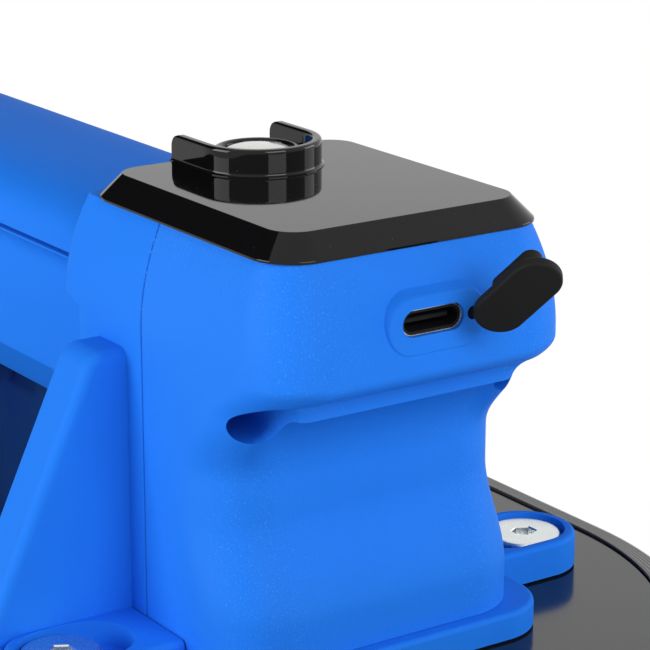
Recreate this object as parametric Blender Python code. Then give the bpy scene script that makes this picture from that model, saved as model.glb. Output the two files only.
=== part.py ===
"""Battery powered vacuum suction lifter: a bridge handle on an obround suction base.

The handle runs along X. The post at +X carries the display panel, the power button and the charging port,
and the post at -X holds the vacuum pump. The origin is under the centre of the base, on the surface that it
seals to.
"""

import math

import bmesh
import bpy
from mathutils import Euler, Matrix

MM = 0.001
FIT = 0.3 * MM  # gap between two pieces that touch on the real object
WALL = 2.5 * MM  # moulded wall of the blue housing

# Suction base
BASE_LENGTH = 228 * MM
BASE_WIDTH = 114 * MM
SKIRT_WIDTH = 5.7 * MM  # rubber outside the plate's edge
SKIRT_TOP = 18.4 * MM
PLATE_BOTTOM = 12 * MM
PLATE_TOP = 18 * MM
FOAM_HEIGHT = 7.9 * MM
FOAM_WIDTH = 11.5 * MM
SKIRT_LIP = 3 * MM  # height of the skirt's free edge above the sealed surface
FLANGE_THICKNESS = 3.6 * MM

# Posts and handle, placed from the ends of the base
POST_HALF_WIDTH = 23 * MM
POST_TOP = 74.2 * MM
REAR_TOP = 71 * MM
POST_TOP_ROUND = 3 * MM
POST_CORNER = 9 * MM
SEAM_BREAK = 0.35 * MM  # small rounding along the seams
FRONT_FACE = BASE_LENGTH / 2 - 23.2 * MM
FRONT_NECK = FRONT_FACE - 13.8 * MM
FRONT_SEAM = FRONT_FACE - 30.9 * MM
FRONT_IN = FRONT_FACE - 50.3 * MM  # handle side of the front post
FRONT_HEAD_IN = FRONT_IN - 3.5 * MM
REAR_FACE = 12 * MM - BASE_LENGTH / 2
REAR_NECK = REAR_FACE + 3.5 * MM
REAR_SEAM = REAR_FACE + 20 * MM
REAR_IN = REAR_FACE + 37 * MM
FRONT_SPREAD, REAR_SPREAD = 4.5 * MM, 2 * MM  # how far each foot flares out from its neck
FLARE_LOW, FLARE_HIGH = 27 * MM, 40 * MM
HOLLOW_HEIGHT = 10.5 * MM  # of the sweep from the neck to the strip under the head
HEAD_BOTTOM = 57.6 * MM
HEAD_STEP_LOW, HEAD_STEP_HIGH = 60.4 * MM, 62.0 * MM  # where the head steps out towards the handle
STRIP_SETBACK = 5.2 * MM
STRIP_HEIGHT = 2.6 * MM
STRIP_END, SWEEP_START = 16.5 * MM, 20.5 * MM  # across the face: the strip fades into plain corners
SWEEP_DROP, SWEEP_RISE = 11.6 * MM, 3.4 * MM  # of the corners' sweep, below and above the head's underside
HANDLE_HALF_WIDTH = 15.2 * MM
HANDLE_WALL = 4 * MM
HANDLE_BOTTOM = 38 * MM
HANDLE_SPLIT = 64 * MM
HANDLE_TOP = 71.6 * MM
COVER_OVERHANG = 1.5 * MM
COVER_WALL = 4.6 * MM  # side wall of the handle cover, which rests on the lower half
HANDLE_EDGE = 7 * MM  # rounding of the lower handle edges
SHOULDER_INSET, SHOULDER_DROP = 2.4 * MM, 4 * MM  # rounding under the handle cover
ARCH_FULLNESS = 0.75  # 1 is a plain ellipse, less is fuller
BOSS_LOW, BOSS_HIGH = 49.5 * MM, 61 * MM  # band of thick wall that takes the cover screws
BOSS_HALF_WIDTH = 14.4 * MM

# Feet: gussets and screw lugs
GUSSET_THICKNESS = 8 * MM
GUSSET_SETBACK = 3.7 * MM  # from the seam
GUSSET_TOP = 58.2 * MM
GUSSET_TOP_REACH = 4.7 * MM
GUSSET_SHOULDER = 2.2 * MM
GUSSET_SLOPE = math.radians(29)
FRONT_LUG_X = FRONT_FACE - 28.4 * MM
REAR_LUG_X = REAR_FACE + 37.5 * MM
LUG_Y = BASE_WIDTH / 2 - 20.1 * MM
LUG_RADIUS = 7.2 * MM
LUG_TOP = 23.2 * MM
LUG_SEAT = 20.0 * MM

# Fasteners
LUG_SCREW_RADIUS, LUG_SCREW_HEAD, LUG_SCREW_HEAD_HEIGHT = 2.5 * MM, 5.3 * MM, 2.4 * MM
LUG_SCREW_LENGTH = 9 * MM
LUG_SCREW_HEX = 1.73 * MM  # to the corners of the socket
LUG_SCREW_ROOM = 0.5 * MM  # round the head
COVER_SCREW_Y = 18.6 * MM
COVER_SCREW_Z = 54.6 * MM
COVER_SCREW_RADIUS = 1.4 * MM
COVER_SCREW_HEAD, COVER_SCREW_HEAD_HEIGHT = 2.5 * MM, 2.2 * MM
COVER_SCREW_LENGTH = 13 * MM
COVER_SCREW_BORE = 3.1 * MM
COVER_SCREW_FLOOR = 4.7 * MM  # from the seam to the floor of the bore
SLOT_REACH = 1.6 * MM  # half length of a screw's cross slot

# Display panel, guard and button
PANEL_MARGIN = 2.4 * MM  # post edge to panel edge
PANEL_BACK_MARGIN = 4 * MM
PANEL_CORNER = 5.5 * MM
PANEL_EDGE = 0.7 * MM
PANEL_CHAMFER_HEIGHT = 3.0 * MM
PANEL_CHAMFER_WIDTH = 2.9 * MM
BUTTON_X = FRONT_FACE - 39.3 * MM
BUTTON_RADIUS = 5.9 * MM
BUTTON_PROUD = 1.6 * MM
BUTTON_TRAVEL = 0.6 * MM
BUTTON_FACE_RADIUS = 4.4 * MM
BUTTON_FACE_HEIGHT = 0.6 * MM
BUTTON_RIM = 0.7 * MM  # height of the rim round the face
GUARD_RADIUS = 8.3 * MM
GUARD_WALL = 1.3 * MM
GUARD_HEIGHT = 3.3 * MM
GUARD_LEG = 8 * MM
GUARD_FOOT = 0.4 * MM

# Charging port and its plug
PORT_Y = 0.4 * MM
PORT_Z = 66.2 * MM
PORT_LENGTH, PORT_HEIGHT = 8.94 * MM, 3.26 * MM
PORT_SHELL = 0.3 * MM
PORT_DEPTH = 7.5 * MM
RECESS_LENGTH, RECESS_HEIGHT, RECESS_DEPTH = 14.2 * MM, 7.0 * MM, 1.4 * MM
RECESS_BEVEL = 1.6 * MM
PLUG_LENGTH, PLUG_WIDTH, PLUG_THICKNESS = 13.1 * MM, 6.3 * MM, 1.4 * MM
STUB_LENGTH, STUB_WIDTH, STUB_DEPTH = 8.0 * MM, 2.7 * MM, 4.4 * MM
STRAP_OFFSET = 5.9 * MM  # from the middle of the port to the strap that holds the plug
PLUG_PIVOT_OFFSET, PLUG_PIVOT_RISE = 5.2 * MM, 0.7 * MM  # from the plug's middle to its pivot on the strap
STRAP_RADIUS, STRAP_BULB = 0.55 * MM, 1.3 * MM
PLUG_PIVOT_OUT = STUB_DEPTH - 0.4 * MM  # pivot of the loose plug in front of the face
PLUG_TURN = Euler((math.radians(-125.8), math.radians(30.6), math.radians(-36.3)), "XYZ")

# Electronics
BOARD_THICKNESS = 1.6 * MM
DISPLAY_THICKNESS = 3.6 * MM
DISPLAY_LENGTH, DISPLAY_HALF_WIDTH = 20 * MM, 12.5 * MM
SWITCH_SIDE, SWITCH_HEIGHT = 6 * MM, 2.2 * MM
CELL_RADIUS, CELL_LENGTH = 9.2 * MM, 65.2 * MM

# Vacuum pump and vent valve
PUMP_X = REAR_FACE + 20.8 * MM
PUMP_RADIUS = 12.8 * MM
VALVE_HEAD_HEIGHT = 9.4 * MM
DIAPHRAGM_THICKNESS = 2.4 * MM
CRANK_CASE_HEIGHT = 10.5 * MM
MOTOR_RADIUS, MOTOR_LENGTH = 12 * MM, 22 * MM
SHAFT_RADIUS = 1.0 * MM
CRANK_RADIUS, CRANK_THICKNESS = 6.5 * MM, 3 * MM
CRANK_PIN_OFFSET, CRANK_PIN_RADIUS, CRANK_PIN_LENGTH = 3.2 * MM, 1.1 * MM, 2.4 * MM
NIPPLE_RADIUS, NIPPLE_BORE = 2.6 * MM, 1.2 * MM
FILTER_RADIUS, FILTER_THICKNESS = 8 * MM, 2.2 * MM
VENT_X = FRONT_FACE - 30.8 * MM
VENT_RADIUS, VENT_HEIGHT = 7 * MM, 20 * MM
VENT_LIFT = 1.5 * MM
PLUNGER_RADIUS, PLUNGER_LENGTH = 1.7 * MM, 15 * MM
VENT_SEAL_RADIUS, VENT_SEAL_THICKNESS = 3.2 * MM, 1.4 * MM
VENT_HOLE = 1.6 * MM
SPRING_RADIUS, SPRING_WIRE, SPRING_TURNS = 3.2 * MM, 0.35 * MM, 6
SENSOR_X = FRONT_FACE - 43.2 * MM
SENSOR_SIDE, SENSOR_HEIGHT = 7 * MM, 6 * MM
EXHAUST_LENGTH, EXHAUST_HEIGHT, EXHAUST_PITCH, EXHAUST_ROWS = 16 * MM, 2.4 * MM, 2.9 * MM, 3

# Worked-out heights and places
BASE_STRAIGHT = (BASE_LENGTH - BASE_WIDTH) / 2
PLATE_HALF_WIDTH = BASE_WIDTH / 2 - SKIRT_WIDTH
FLANGE_BOTTOM = PLATE_TOP + FIT
FLANGE_TOP = FLANGE_BOTTOM + FLANGE_THICKNESS
FRONT_GUSSET = FRONT_SEAM - GUSSET_SETBACK  # outer faces of the braces
REAR_GUSSET = REAR_SEAM + GUSSET_SETBACK
PANEL_BOTTOM = POST_TOP + FIT
PANEL_TOP = PANEL_BOTTOM + PANEL_EDGE + PANEL_CHAMFER_HEIGHT
ROOF = 2 * MM  # moulded wall over the posts
RECESS_FLOOR = FRONT_FACE - RECESS_DEPTH
BOARD_TOP = PANEL_BOTTOM - FIT - DISPLAY_THICKNESS - FIT
PUMP_SEAT = FLANGE_TOP + FIT
DIAPHRAGM_SEAT = PUMP_SEAT + VALVE_HEAD_HEIGHT + FIT
CASE_SEAT = DIAPHRAGM_SEAT + DIAPHRAGM_THICKNESS + FIT
MOTOR_SEAT = CASE_SEAT + CRANK_CASE_HEIGHT + FIT
CELL_Z = (HANDLE_BOTTOM + HANDLE_TOP) / 2

ROUND = 32  # sides of a plain round piece
CORNER = 6  # steps in a rounded corner


def clear_scene():
    for obj in list(bpy.data.objects):
        bpy.data.objects.remove(obj, do_unlink=True)


def material(name, colour, roughness, metallic=0.0):
    made = bpy.data.materials.new(name)
    made.use_nodes = True
    shader = made.node_tree.nodes["Principled BSDF"]
    shader.inputs["Base Color"].default_value = (*colour, 1)
    shader.inputs["Roughness"].default_value = roughness
    shader.inputs["Metallic"].default_value = metallic
    return made


def add_object(name, bm, finish):
    """An object made from a closed bmesh, with its faces turned outwards and smooth between sharp edges."""
    bmesh.ops.remove_doubles(bm, verts=bm.verts, dist=1e-6)
    bmesh.ops.recalc_face_normals(bm, faces=bm.faces)
    mesh = bpy.data.meshes.new(name)
    bm.to_mesh(mesh)
    bm.free()
    mesh.shade_smooth()
    mesh.set_sharp_from_angle(angle=math.radians(35))
    obj = bpy.data.objects.new(name, mesh)
    bpy.context.scene.collection.objects.link(obj)
    if finish:
        mesh.materials.append(finish)
    return obj


def boolean(target, other, operation="DIFFERENCE"):
    """Cuts other from target, or joins it to target, and keeps other as a hidden helper."""
    step = target.modifiers.new(f"{operation.lower()} {other.name}", "BOOLEAN")
    step.operation = operation
    step.object = other
    other.hide_render = True
    other.display_type = "WIRE"
    return target


def cut(target, *cutters):
    for cutter in cutters:
        boolean(target, cutter)
    return target


def join(target, *others):
    for other in others:
        boolean(target, other, "UNION")
    return target


def loft(loops):
    """A closed solid through loops of the same number of points."""
    bm = bmesh.new()
    rings = [[bm.verts.new(point) for point in loop] for loop in loops]
    count = len(rings[0])
    for low, high in zip(rings, rings[1:]):
        for i in range(count):
            j = (i + 1) % count
            bm.faces.new((low[i], low[j], high[j], high[i]))
    bm.faces.new(reversed(rings[0]))
    bm.faces.new(rings[-1])
    return bm


def closed_loft(loops):
    """A ring shaped solid: the last loop joins the first."""
    bm = bmesh.new()
    rings = [[bm.verts.new(point) for point in loop] for loop in loops]
    count = len(rings[0])
    for low, high in zip(rings, rings[1:] + rings[:1]):
        for i in range(count):
            j = (i + 1) % count
            bm.faces.new((low[i], low[j], high[j], high[i]))
    return bm


def smooth(share):
    """0 to 1 with a soft start and end."""
    share = min(1, max(0, share))
    return share * share * (3 - 2 * share)


def round_rect(low, high, radii, steps=CORNER):
    """Corner-rounded rectangle from low to high, counted from the low corner; one radius for each corner."""
    corners = ((low[0], low[1]), (high[0], low[1]), (high[0], high[1]), (low[0], high[1]))
    points = []
    for k, ((x, y), radius) in enumerate(zip(corners, radii)):
        towards_x = 1 if k in (0, 3) else -1
        towards_y = 1 if k in (0, 1) else -1
        start = math.pi + k * math.pi / 2
        for i in range(steps + 1):
            angle = start + i / steps * math.pi / 2
            points.append((x + towards_x * radius + radius * math.cos(angle),
                           y + towards_y * radius + radius * math.sin(angle)))
    return points


def obround(length, width, steps=8):
    """Outline with two straight sides and round ends, long side along its first axis."""
    half, radius = (length - width) / 2, width / 2
    points = []
    for centre, start in ((half, -math.pi / 2), (-half, math.pi / 2)):
        for i in range(steps + 1):
            angle = start + i / steps * math.pi
            points.append((centre + radius * math.cos(angle), radius * math.sin(angle)))
    return points


def circle(radius, steps=ROUND):
    return [(radius * math.cos(2 * math.pi * i / steps), radius * math.sin(2 * math.pi * i / steps))
            for i in range(steps)]


def upright(outline, low, high, centre=(0, 0)):
    """A prism standing along Z."""
    return loft([[(x + centre[0], y + centre[1], z) for x, y in outline] for z in (low, high)])


def along_x(outline, low, high, centre=(0, 0)):
    """A prism lying along X from an outline in Y and Z."""
    return loft([[(x, y + centre[0], z + centre[1]) for y, z in outline] for x in (low, high)])


def turned(profile, centre=(0, 0), steps=ROUND):
    """A solid of revolution about Z. The profile runs from axis to axis, as (radius, height)."""
    bm = bmesh.new()
    rings = []
    for radius, z in profile:
        if radius < 1e-9:
            rings.append([bm.verts.new((centre[0], centre[1], z))])
        else:
            rings.append([bm.verts.new((x + centre[0], y + centre[1], z)) for x, y in circle(radius, steps)])
    for low, high in zip(rings, rings[1:]):
        for i in range(steps):
            j = (i + 1) % steps
            face = [low[i % len(low)], low[j % len(low)], high[j % len(high)], high[i % len(high)]]
            bm.faces.new(list(dict.fromkeys(face)))
    return bm


def helper(name, bm):
    """A cutter or a shape to join, hidden in renders."""
    obj = add_object(name, bm, None)
    obj.hide_render = True
    obj.display_type = "WIRE"
    return obj


def base_ring(profile, steps=20):
    """Sweeps a profile of (half width, height) round the obround base line."""
    loops = []
    for centre, start in ((BASE_STRAIGHT, -math.pi / 2), (-BASE_STRAIGHT, math.pi / 2)):
        for i in range(steps + 1):
            angle = start + i / steps * math.pi
            loops.append([(centre + w * math.cos(angle), w * math.sin(angle), z) for w, z in profile])
    return closed_loft(loops)


def base_outline(half_width, steps=20):
    return obround(2 * (BASE_STRAIGHT + half_width), 2 * half_width, steps)


def suction_base(finishes):
    """Rubber skirt, foam seal and the rigid plate that they are bonded to."""
    edge, outer = PLATE_HALF_WIDTH, BASE_WIDTH / 2
    foam_top = FOAM_HEIGHT + FIT
    groove = outer - 4.0 * MM
    inner = groove - FOAM_WIDTH - FIT
    skirt = [(edge + FIT, PLATE_BOTTOM - FIT), (edge + FIT, SKIRT_TOP - 0.9 * MM),
             (edge + 1.7 * MM, SKIRT_TOP), (outer - 1.6 * MM, SKIRT_TOP - 1.1 * MM),
             (outer, SKIRT_TOP - 4.6 * MM), (outer, SKIRT_LIP + 1.5 * MM), (outer - 1 * MM, SKIRT_LIP),
             (groove + 0.8 * MM, SKIRT_LIP), (groove, foam_top), (inner, foam_top),
             (inner, PLATE_BOTTOM - FIT)]
    add_object("rubber_skirt", base_ring(skirt), finishes["rubber"])
    rounding = 1.2 * MM
    low, high = groove - FOAM_WIDTH, groove - FIT
    foam = [(low, rounding), (low, FOAM_HEIGHT), (high, FOAM_HEIGHT), (high, rounding),
            (high - rounding, 0), (low + rounding, 0)]
    add_object("foam_seal", base_ring(foam), finishes["foam"])
    bevel = 1.0 * MM
    plate = add_object("base_plate", loft([
        [(x, y, z) for x, y in base_outline(edge - inset)]
        for z, inset in ((PLATE_BOTTOM, 0), (PLATE_TOP - bevel, 0), (PLATE_TOP, bevel))]),
        finishes["plate"])
    holes = [(x, y, LUG_SCREW_RADIUS) for x in (FRONT_LUG_X, REAR_LUG_X) for y in (LUG_Y, -LUG_Y)]
    holes += [(PUMP_X, 0, NIPPLE_RADIUS), (VENT_X, 0, VENT_HOLE - FIT)]
    for k, (x, y, radius) in enumerate(holes):
        cut(plate, helper(f"plate_hole_{k}", upright(
            circle(radius + FIT, 24), PLATE_BOTTOM - 1 * MM, PLATE_TOP + 1 * MM, (x, y))))


def top_rounding(top):
    """(height, inset) pairs that round the upper edge of a post."""
    return [(top - POST_TOP_ROUND * (1 - math.sin(a)), POST_TOP_ROUND * 0.6 * (1 - math.cos(a)))
            for a in (0, math.radians(30), math.radians(60), math.radians(90))]


def neck_profile(face, neck, spread, side):
    """(height, x) of a post's outer face, from the foot up: flare, neck, hollow, strip and head."""
    strip = face - side * STRIP_SETBACK
    strip_low = HEAD_BOTTOM - STRIP_HEIGHT
    points = [(FLANGE_TOP + FIT, neck + side * spread)]
    for share in (0, 0.25, 0.5, 0.75, 1):
        points.append((FLARE_LOW + (FLARE_HIGH - FLARE_LOW) * share,
                       neck + side * spread * (1 - smooth(share))))
    for a in (0, 22, 45, 68, 90):
        t = math.radians(a)
        points.append((strip_low - HOLLOW_HEIGHT * (1 - math.sin(t)),
                       neck + (strip - neck) * (1 - math.cos(t))))
    lip = side * 1.6 * MM
    points += [(HEAD_BOTTOM, strip + side * 0.15 * MM), (HEAD_BOTTOM + 0.5 * MM, face - 1.4 * lip),
               (HEAD_BOTTOM + 1.3 * MM, face - 0.5 * lip), (HEAD_BOTTOM + 3 * MM, face)]
    return points


def cover_shell(name, face, neck, spread, seam, side, top, window, finish):
    """A hollow end cover, open at its seam and at its foot, and at its top where there is a window."""
    def corner_move(z, x):
        """How far the corners stand out from the face at x: they sweep from neck to head with no strip."""
        share = (z - HEAD_BOTTOM + SWEEP_DROP) / (SWEEP_DROP + SWEEP_RISE)
        return neck + (face - neck) * smooth(share) - x if 0 < share < 1 else 0

    def section(z, x, inset):
        low, high = sorted((seam + side * FIT / 2, x))
        width = POST_HALF_WIDTH - inset
        corner = POST_CORNER - inset
        radii = [SEAM_BREAK, corner, corner, SEAM_BREAK]
        if side < 0:
            radii = [corner, SEAM_BREAK, SEAM_BREAK, corner]
        move = corner_move(z, x)
        points = []
        for px, py in round_rect((low, -width), (high, width), radii):
            if abs(px - seam) > 1 * MM:
                px += move * smooth((abs(py) - STRIP_END) / (SWEEP_START - STRIP_END))
            points.append((px, py, z))
        return points

    loops = [section(z, x, 0) for z, x in neck_profile(face, neck, spread, side)]
    loops += [section(z, face - side * inset, inset) for z, inset in top_rounding(top)]
    cover = add_object(name, loft(loops), finish)
    return cut(cover, post_cavity(f"{name}_cavity", seam, side, neck - side * WALL, face - side * WALL, top,
                                  window))


def post_cavity(name, seam, side, neck, head, top, window):
    """The hollow inside a cover, narrower where the cover screws pass."""
    inner = POST_CORNER - WALL
    width = POST_HALF_WIDTH - WALL
    back = seam - side * 1 * MM
    step = 1 * MM
    stations = [(FLANGE_TOP - 4 * MM, neck, width), (BOSS_LOW - step, neck, width),
                (BOSS_LOW, neck, BOSS_HALF_WIDTH), (BOSS_HIGH - step, neck, BOSS_HALF_WIDTH),
                (BOSS_HIGH, head, width), (top - ROOF, head, width)]
    loops = []
    for z, x, half in stations:
        low, high = sorted((back, x))
        radii = (0.2 * MM, inner, inner, 0.2 * MM) if side > 0 else (inner, 0.2 * MM, 0.2 * MM, inner)
        loops.append([(px, py, z) for px, py in round_rect((low, -half), (high, half), radii)])
    cavity = helper(name, loft(loops))
    if window:
        join(cavity, panel_window(f"{name}_window"))
    return cavity


def panel_window(name):
    """The opening under the display panel, through the top of the front post."""
    rim = PANEL_MARGIN + 2.6 * MM
    low = FRONT_HEAD_IN + rim + 2 * MM
    half = POST_HALF_WIDTH - rim
    outline = round_rect((low, -half), (FRONT_FACE - rim, half), (4 * MM,) * 4)
    return helper(name, upright(outline, POST_TOP - ROOF - 1 * MM, POST_TOP + 1 * MM))


def screw_way(name, seam, side, y, outside):
    """The stepped bore that a cover screw goes into from outside."""
    floor = seam + side * COVER_SCREW_FLOOR
    wide = along_x(circle(COVER_SCREW_BORE, 24), *sorted((floor, outside)), (y, COVER_SCREW_Z))
    ends = sorted((seam - side * COVER_SCREW_LENGTH, floor + side * 1 * MM))
    narrow = along_x(circle(COVER_SCREW_RADIUS + FIT, 16), *ends, (y, COVER_SCREW_Z))
    return join(helper(name, wide), helper(f"{name}_pilot", narrow))


def cover_screw(name, seam, side, y, finish):
    """Pan head screw that holds an end cover to the frame, head in the bore."""
    seat = seam + side * (COVER_SCREW_FLOOR + FIT)
    tip = seam - side * (COVER_SCREW_LENGTH - COVER_SCREW_FLOOR)
    middle = (y, COVER_SCREW_Z)
    top = seat + side * COVER_SCREW_HEAD_HEIGHT
    head = add_object(name, along_x(circle(COVER_SCREW_HEAD, 24), *sorted((seat, top)), middle), finish)
    shaft = along_x(circle(COVER_SCREW_RADIUS, 16), *sorted((tip, seat + side * 0.5 * MM)), middle)
    half = 0.5 * MM
    deep = sorted((top - side * 1 * MM, top + side * 1.8 * MM))
    slot = along_x(round_rect((-half, -SLOT_REACH), (half, SLOT_REACH), (0.1 * MM,) * 4, 1), *deep, middle)
    cross = along_x(round_rect((-SLOT_REACH, -half), (SLOT_REACH, half), (0.1 * MM,) * 4, 1), *deep, middle)
    join(head, helper(f"{name}_shaft", shaft))
    cut(head, join(helper(f"{name}_slot", slot), helper(f"{name}_cross", cross)))


def frame_post(name, inside, head_inside, seam, side, top):
    """The frame's half of a post, solid, from the flange to the top."""
    def section(z, x, inset):
        low, high = sorted((x + side * inset, seam - side * FIT / 2))
        width, corner = POST_HALF_WIDTH - inset, 5 * MM
        radii = [corner, SEAM_BREAK, SEAM_BREAK, corner]
        if side < 0:
            radii = [SEAM_BREAK, corner, corner, SEAM_BREAK]
        return [(px, py, z) for px, py in round_rect((low, -width), (high, width), radii)]

    loops = [section(FLANGE_BOTTOM + 1 * MM, inside, 0)]
    for share in (0, 0.25, 0.5, 0.75, 1):
        loops.append(section(HEAD_STEP_LOW + (HEAD_STEP_HIGH - HEAD_STEP_LOW) * share,
                             inside + (head_inside - inside) * smooth(share), 0))
    loops += [section(z, head_inside, inset) for z, inset in top_rounding(top)]
    return helper(name, loft(loops))


def foot(name, inside, face, side):
    """Flange under a post with the tab of two screw lugs."""
    low, high = sorted((inside - side * 1.5 * MM, face))
    width = POST_HALF_WIDTH + 3 * MM
    outline = round_rect((low, -width), (high, width), (8 * MM,) * 4)
    flange = helper(name, upright(outline, FLANGE_BOTTOM, FLANGE_TOP))
    lug_x = FRONT_LUG_X if side > 0 else REAR_LUG_X
    tab = [(lug_x + y, x) for x, y in obround(2 * (LUG_Y + LUG_RADIUS), 2 * LUG_RADIUS, 10)]
    lugs = helper(f"{name}_lugs", upright(tab, FLANGE_BOTTOM, LUG_TOP))
    clear = POST_HALF_WIDTH + FIT
    beyond = LUG_RADIUS + 2 * MM
    outline = round_rect((lug_x - beyond, -clear), (lug_x + beyond, clear), (0.2 * MM,) * 4, 1)
    cut(lugs, helper(f"{name}_middle", upright(outline, FLANGE_TOP, LUG_TOP + 1 * MM)))
    return join(flange, lugs)


def lug_pocket(lug_x, hand):
    """Seat of a lug screw, open towards the post."""
    radius = LUG_SCREW_HEAD + LUG_SCREW_ROOM
    far, near = LUG_Y + radius, POST_HALF_WIDTH + 4 * MM
    outline = [(lug_x + y, hand * ((far + near) / 2 + x)) for x, y in obround(far - near, 2 * radius, 14)]
    return upright(outline, LUG_SEAT, LUG_TOP + 1 * MM)


def gusset(name, outer, side, hand):
    """The sloping brace on one side of a post; hand is the side of the handle that it stands on."""
    reach = POST_HALF_WIDTH + GUSSET_TOP_REACH
    shoulder = GUSSET_SHOULDER
    spread = reach + (GUSSET_TOP - shoulder - FLANGE_TOP) * math.tan(GUSSET_SLOPE)
    inner = POST_HALF_WIDTH - 1 * MM
    outline = [(inner, FLANGE_BOTTOM + 1 * MM), (spread, FLANGE_BOTTOM + 1 * MM), (spread, FLANGE_TOP),
               (reach, GUSSET_TOP - shoulder), (reach - 0.4 * shoulder, GUSSET_TOP - 0.45 * shoulder),
               (reach - 1.4 * shoulder, GUSSET_TOP), (inner, GUSSET_TOP)]
    outline = [(hand * y, z) for y, z in outline]
    brace = helper(name, along_x(outline, *sorted((outer, outer - side * GUSSET_THICKNESS))))
    edge = brace.modifiers.new("edge", "BEVEL")
    edge.width = 0.9 * MM
    edge.segments = 2
    edge.limit_method = "ANGLE"
    edge.angle_limit = math.radians(60)
    return brace


def handle_section(half_width, low, high, lower_edge, upper_edge):
    radii = (lower_edge, lower_edge, upper_edge, upper_edge)
    return round_rect((-half_width, low), (half_width, high), radii)


def grip_section(half_width, low, high, lower_edge):
    """Outline of the handle's lower half: round below, and drawn in under the cover."""
    right = [(half_width - lower_edge * (1 - math.sin(a)), low + lower_edge * (1 - math.cos(a)))
             for a in (math.radians(15 * k) for k in range(7))]
    right += [(half_width - SHOULDER_INSET * (1 - math.cos(a)), high - SHOULDER_DROP * (1 - math.sin(a)))
              for a in (math.radians(18 * k) for k in range(6))]
    return right + [(-y, z) for y, z in reversed(right)]


def body_frame(finishes):
    """One moulding: the inner halves of both posts, the handle's lower half, the gussets and the feet."""
    handle = along_x(grip_section(HANDLE_HALF_WIDTH, HANDLE_BOTTOM, HANDLE_SPLIT, HANDLE_EDGE),
                     REAR_IN - 2 * MM, FRONT_IN + 2 * MM)
    frame = add_object("body_frame", handle, finishes["blue"])
    join(frame, frame_post("front_post", FRONT_IN, FRONT_HEAD_IN, FRONT_SEAM, 1, POST_TOP),
         frame_post("rear_post", REAR_IN, REAR_IN, REAR_SEAM, -1, REAR_TOP),
         foot("front_foot", FRONT_IN, FRONT_NECK + FRONT_SPREAD + 2 * MM, 1),
         foot("rear_foot", REAR_IN, REAR_NECK - REAR_SPREAD - 2 * MM, -1),
         gusset("front_gusset", FRONT_GUSSET, 1, -1), gusset("rear_gusset", REAR_GUSSET, -1, 1))
    inner = handle_section(HANDLE_HALF_WIDTH - HANDLE_WALL, HANDLE_BOTTOM + WALL, HANDLE_SPLIT + 1 * MM,
                           HANDLE_EDGE - WALL, 0.3 * MM)
    channel = along_x(inner, REAR_IN - WALL - 1 * MM, FRONT_IN + WALL + 1 * MM)
    cut(frame, helper("handle_channel", channel),
        frame_hollow("front_hollow", FRONT_IN, FRONT_SEAM, 1, POST_TOP), panel_window("frame_window"),
        frame_hollow("rear_hollow", REAR_IN, REAR_SEAM, -1, REAR_TOP))
    for side, seam, lug_x in ((1, FRONT_SEAM, FRONT_LUG_X), (-1, REAR_SEAM, REAR_LUG_X)):
        for hand in (1, -1):
            tag = f"{'front' if side > 0 else 'rear'}_{'left' if hand < 0 else 'right'}"
            place = (lug_x, hand * LUG_Y)
            seat = lug_pocket(lug_x, hand)
            way = circle(LUG_SCREW_RADIUS + FIT, 20)
            way = upright(way, FLANGE_BOTTOM - 1 * MM, LUG_SEAT + 1 * MM, place)
            ends = sorted((seam + side * 1 * MM, seam - side * COVER_SCREW_LENGTH))
            pilot = circle(COVER_SCREW_RADIUS + FIT, 16)
            pilot = along_x(pilot, *ends, (hand * COVER_SCREW_Y, COVER_SCREW_Z))
            cut(frame, helper(f"lug_seat_{tag}", seat), helper(f"lug_way_{tag}", way),
                helper(f"frame_pilot_{tag}", pilot))
    ways = (("vent_way", VENT_X, VENT_SEAL_RADIUS + 3 * FIT), ("nipple_way", PUMP_X, NIPPLE_RADIUS + FIT))
    for name, x, radius in ways:
        bore = upright(circle(radius, 24), FLANGE_BOTTOM - 1 * MM, FLANGE_TOP + 1 * MM, (x, 0))
        cut(frame, helper(name, bore))


def frame_hollow(name, inside, seam, side, top):
    """The hollow in the frame's half of a post, open at the seam."""
    width = POST_HALF_WIDTH - WALL
    step = 1 * MM
    stations = [(FLANGE_TOP, width), (BOSS_LOW - step, width), (BOSS_LOW, BOSS_HALF_WIDTH),
                (BOSS_HIGH - step, BOSS_HALF_WIDTH), (BOSS_HIGH, width), (top - ROOF, width)]
    loops = []
    for z, half in stations:
        low, high = sorted((inside + side * WALL, seam + side * 1 * MM))
        loops.append([(x, y, z) for x, y in round_rect((low, -half), (high, half), (1 * MM,) * 4, 2)])
    return helper(name, loft(loops))


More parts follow.
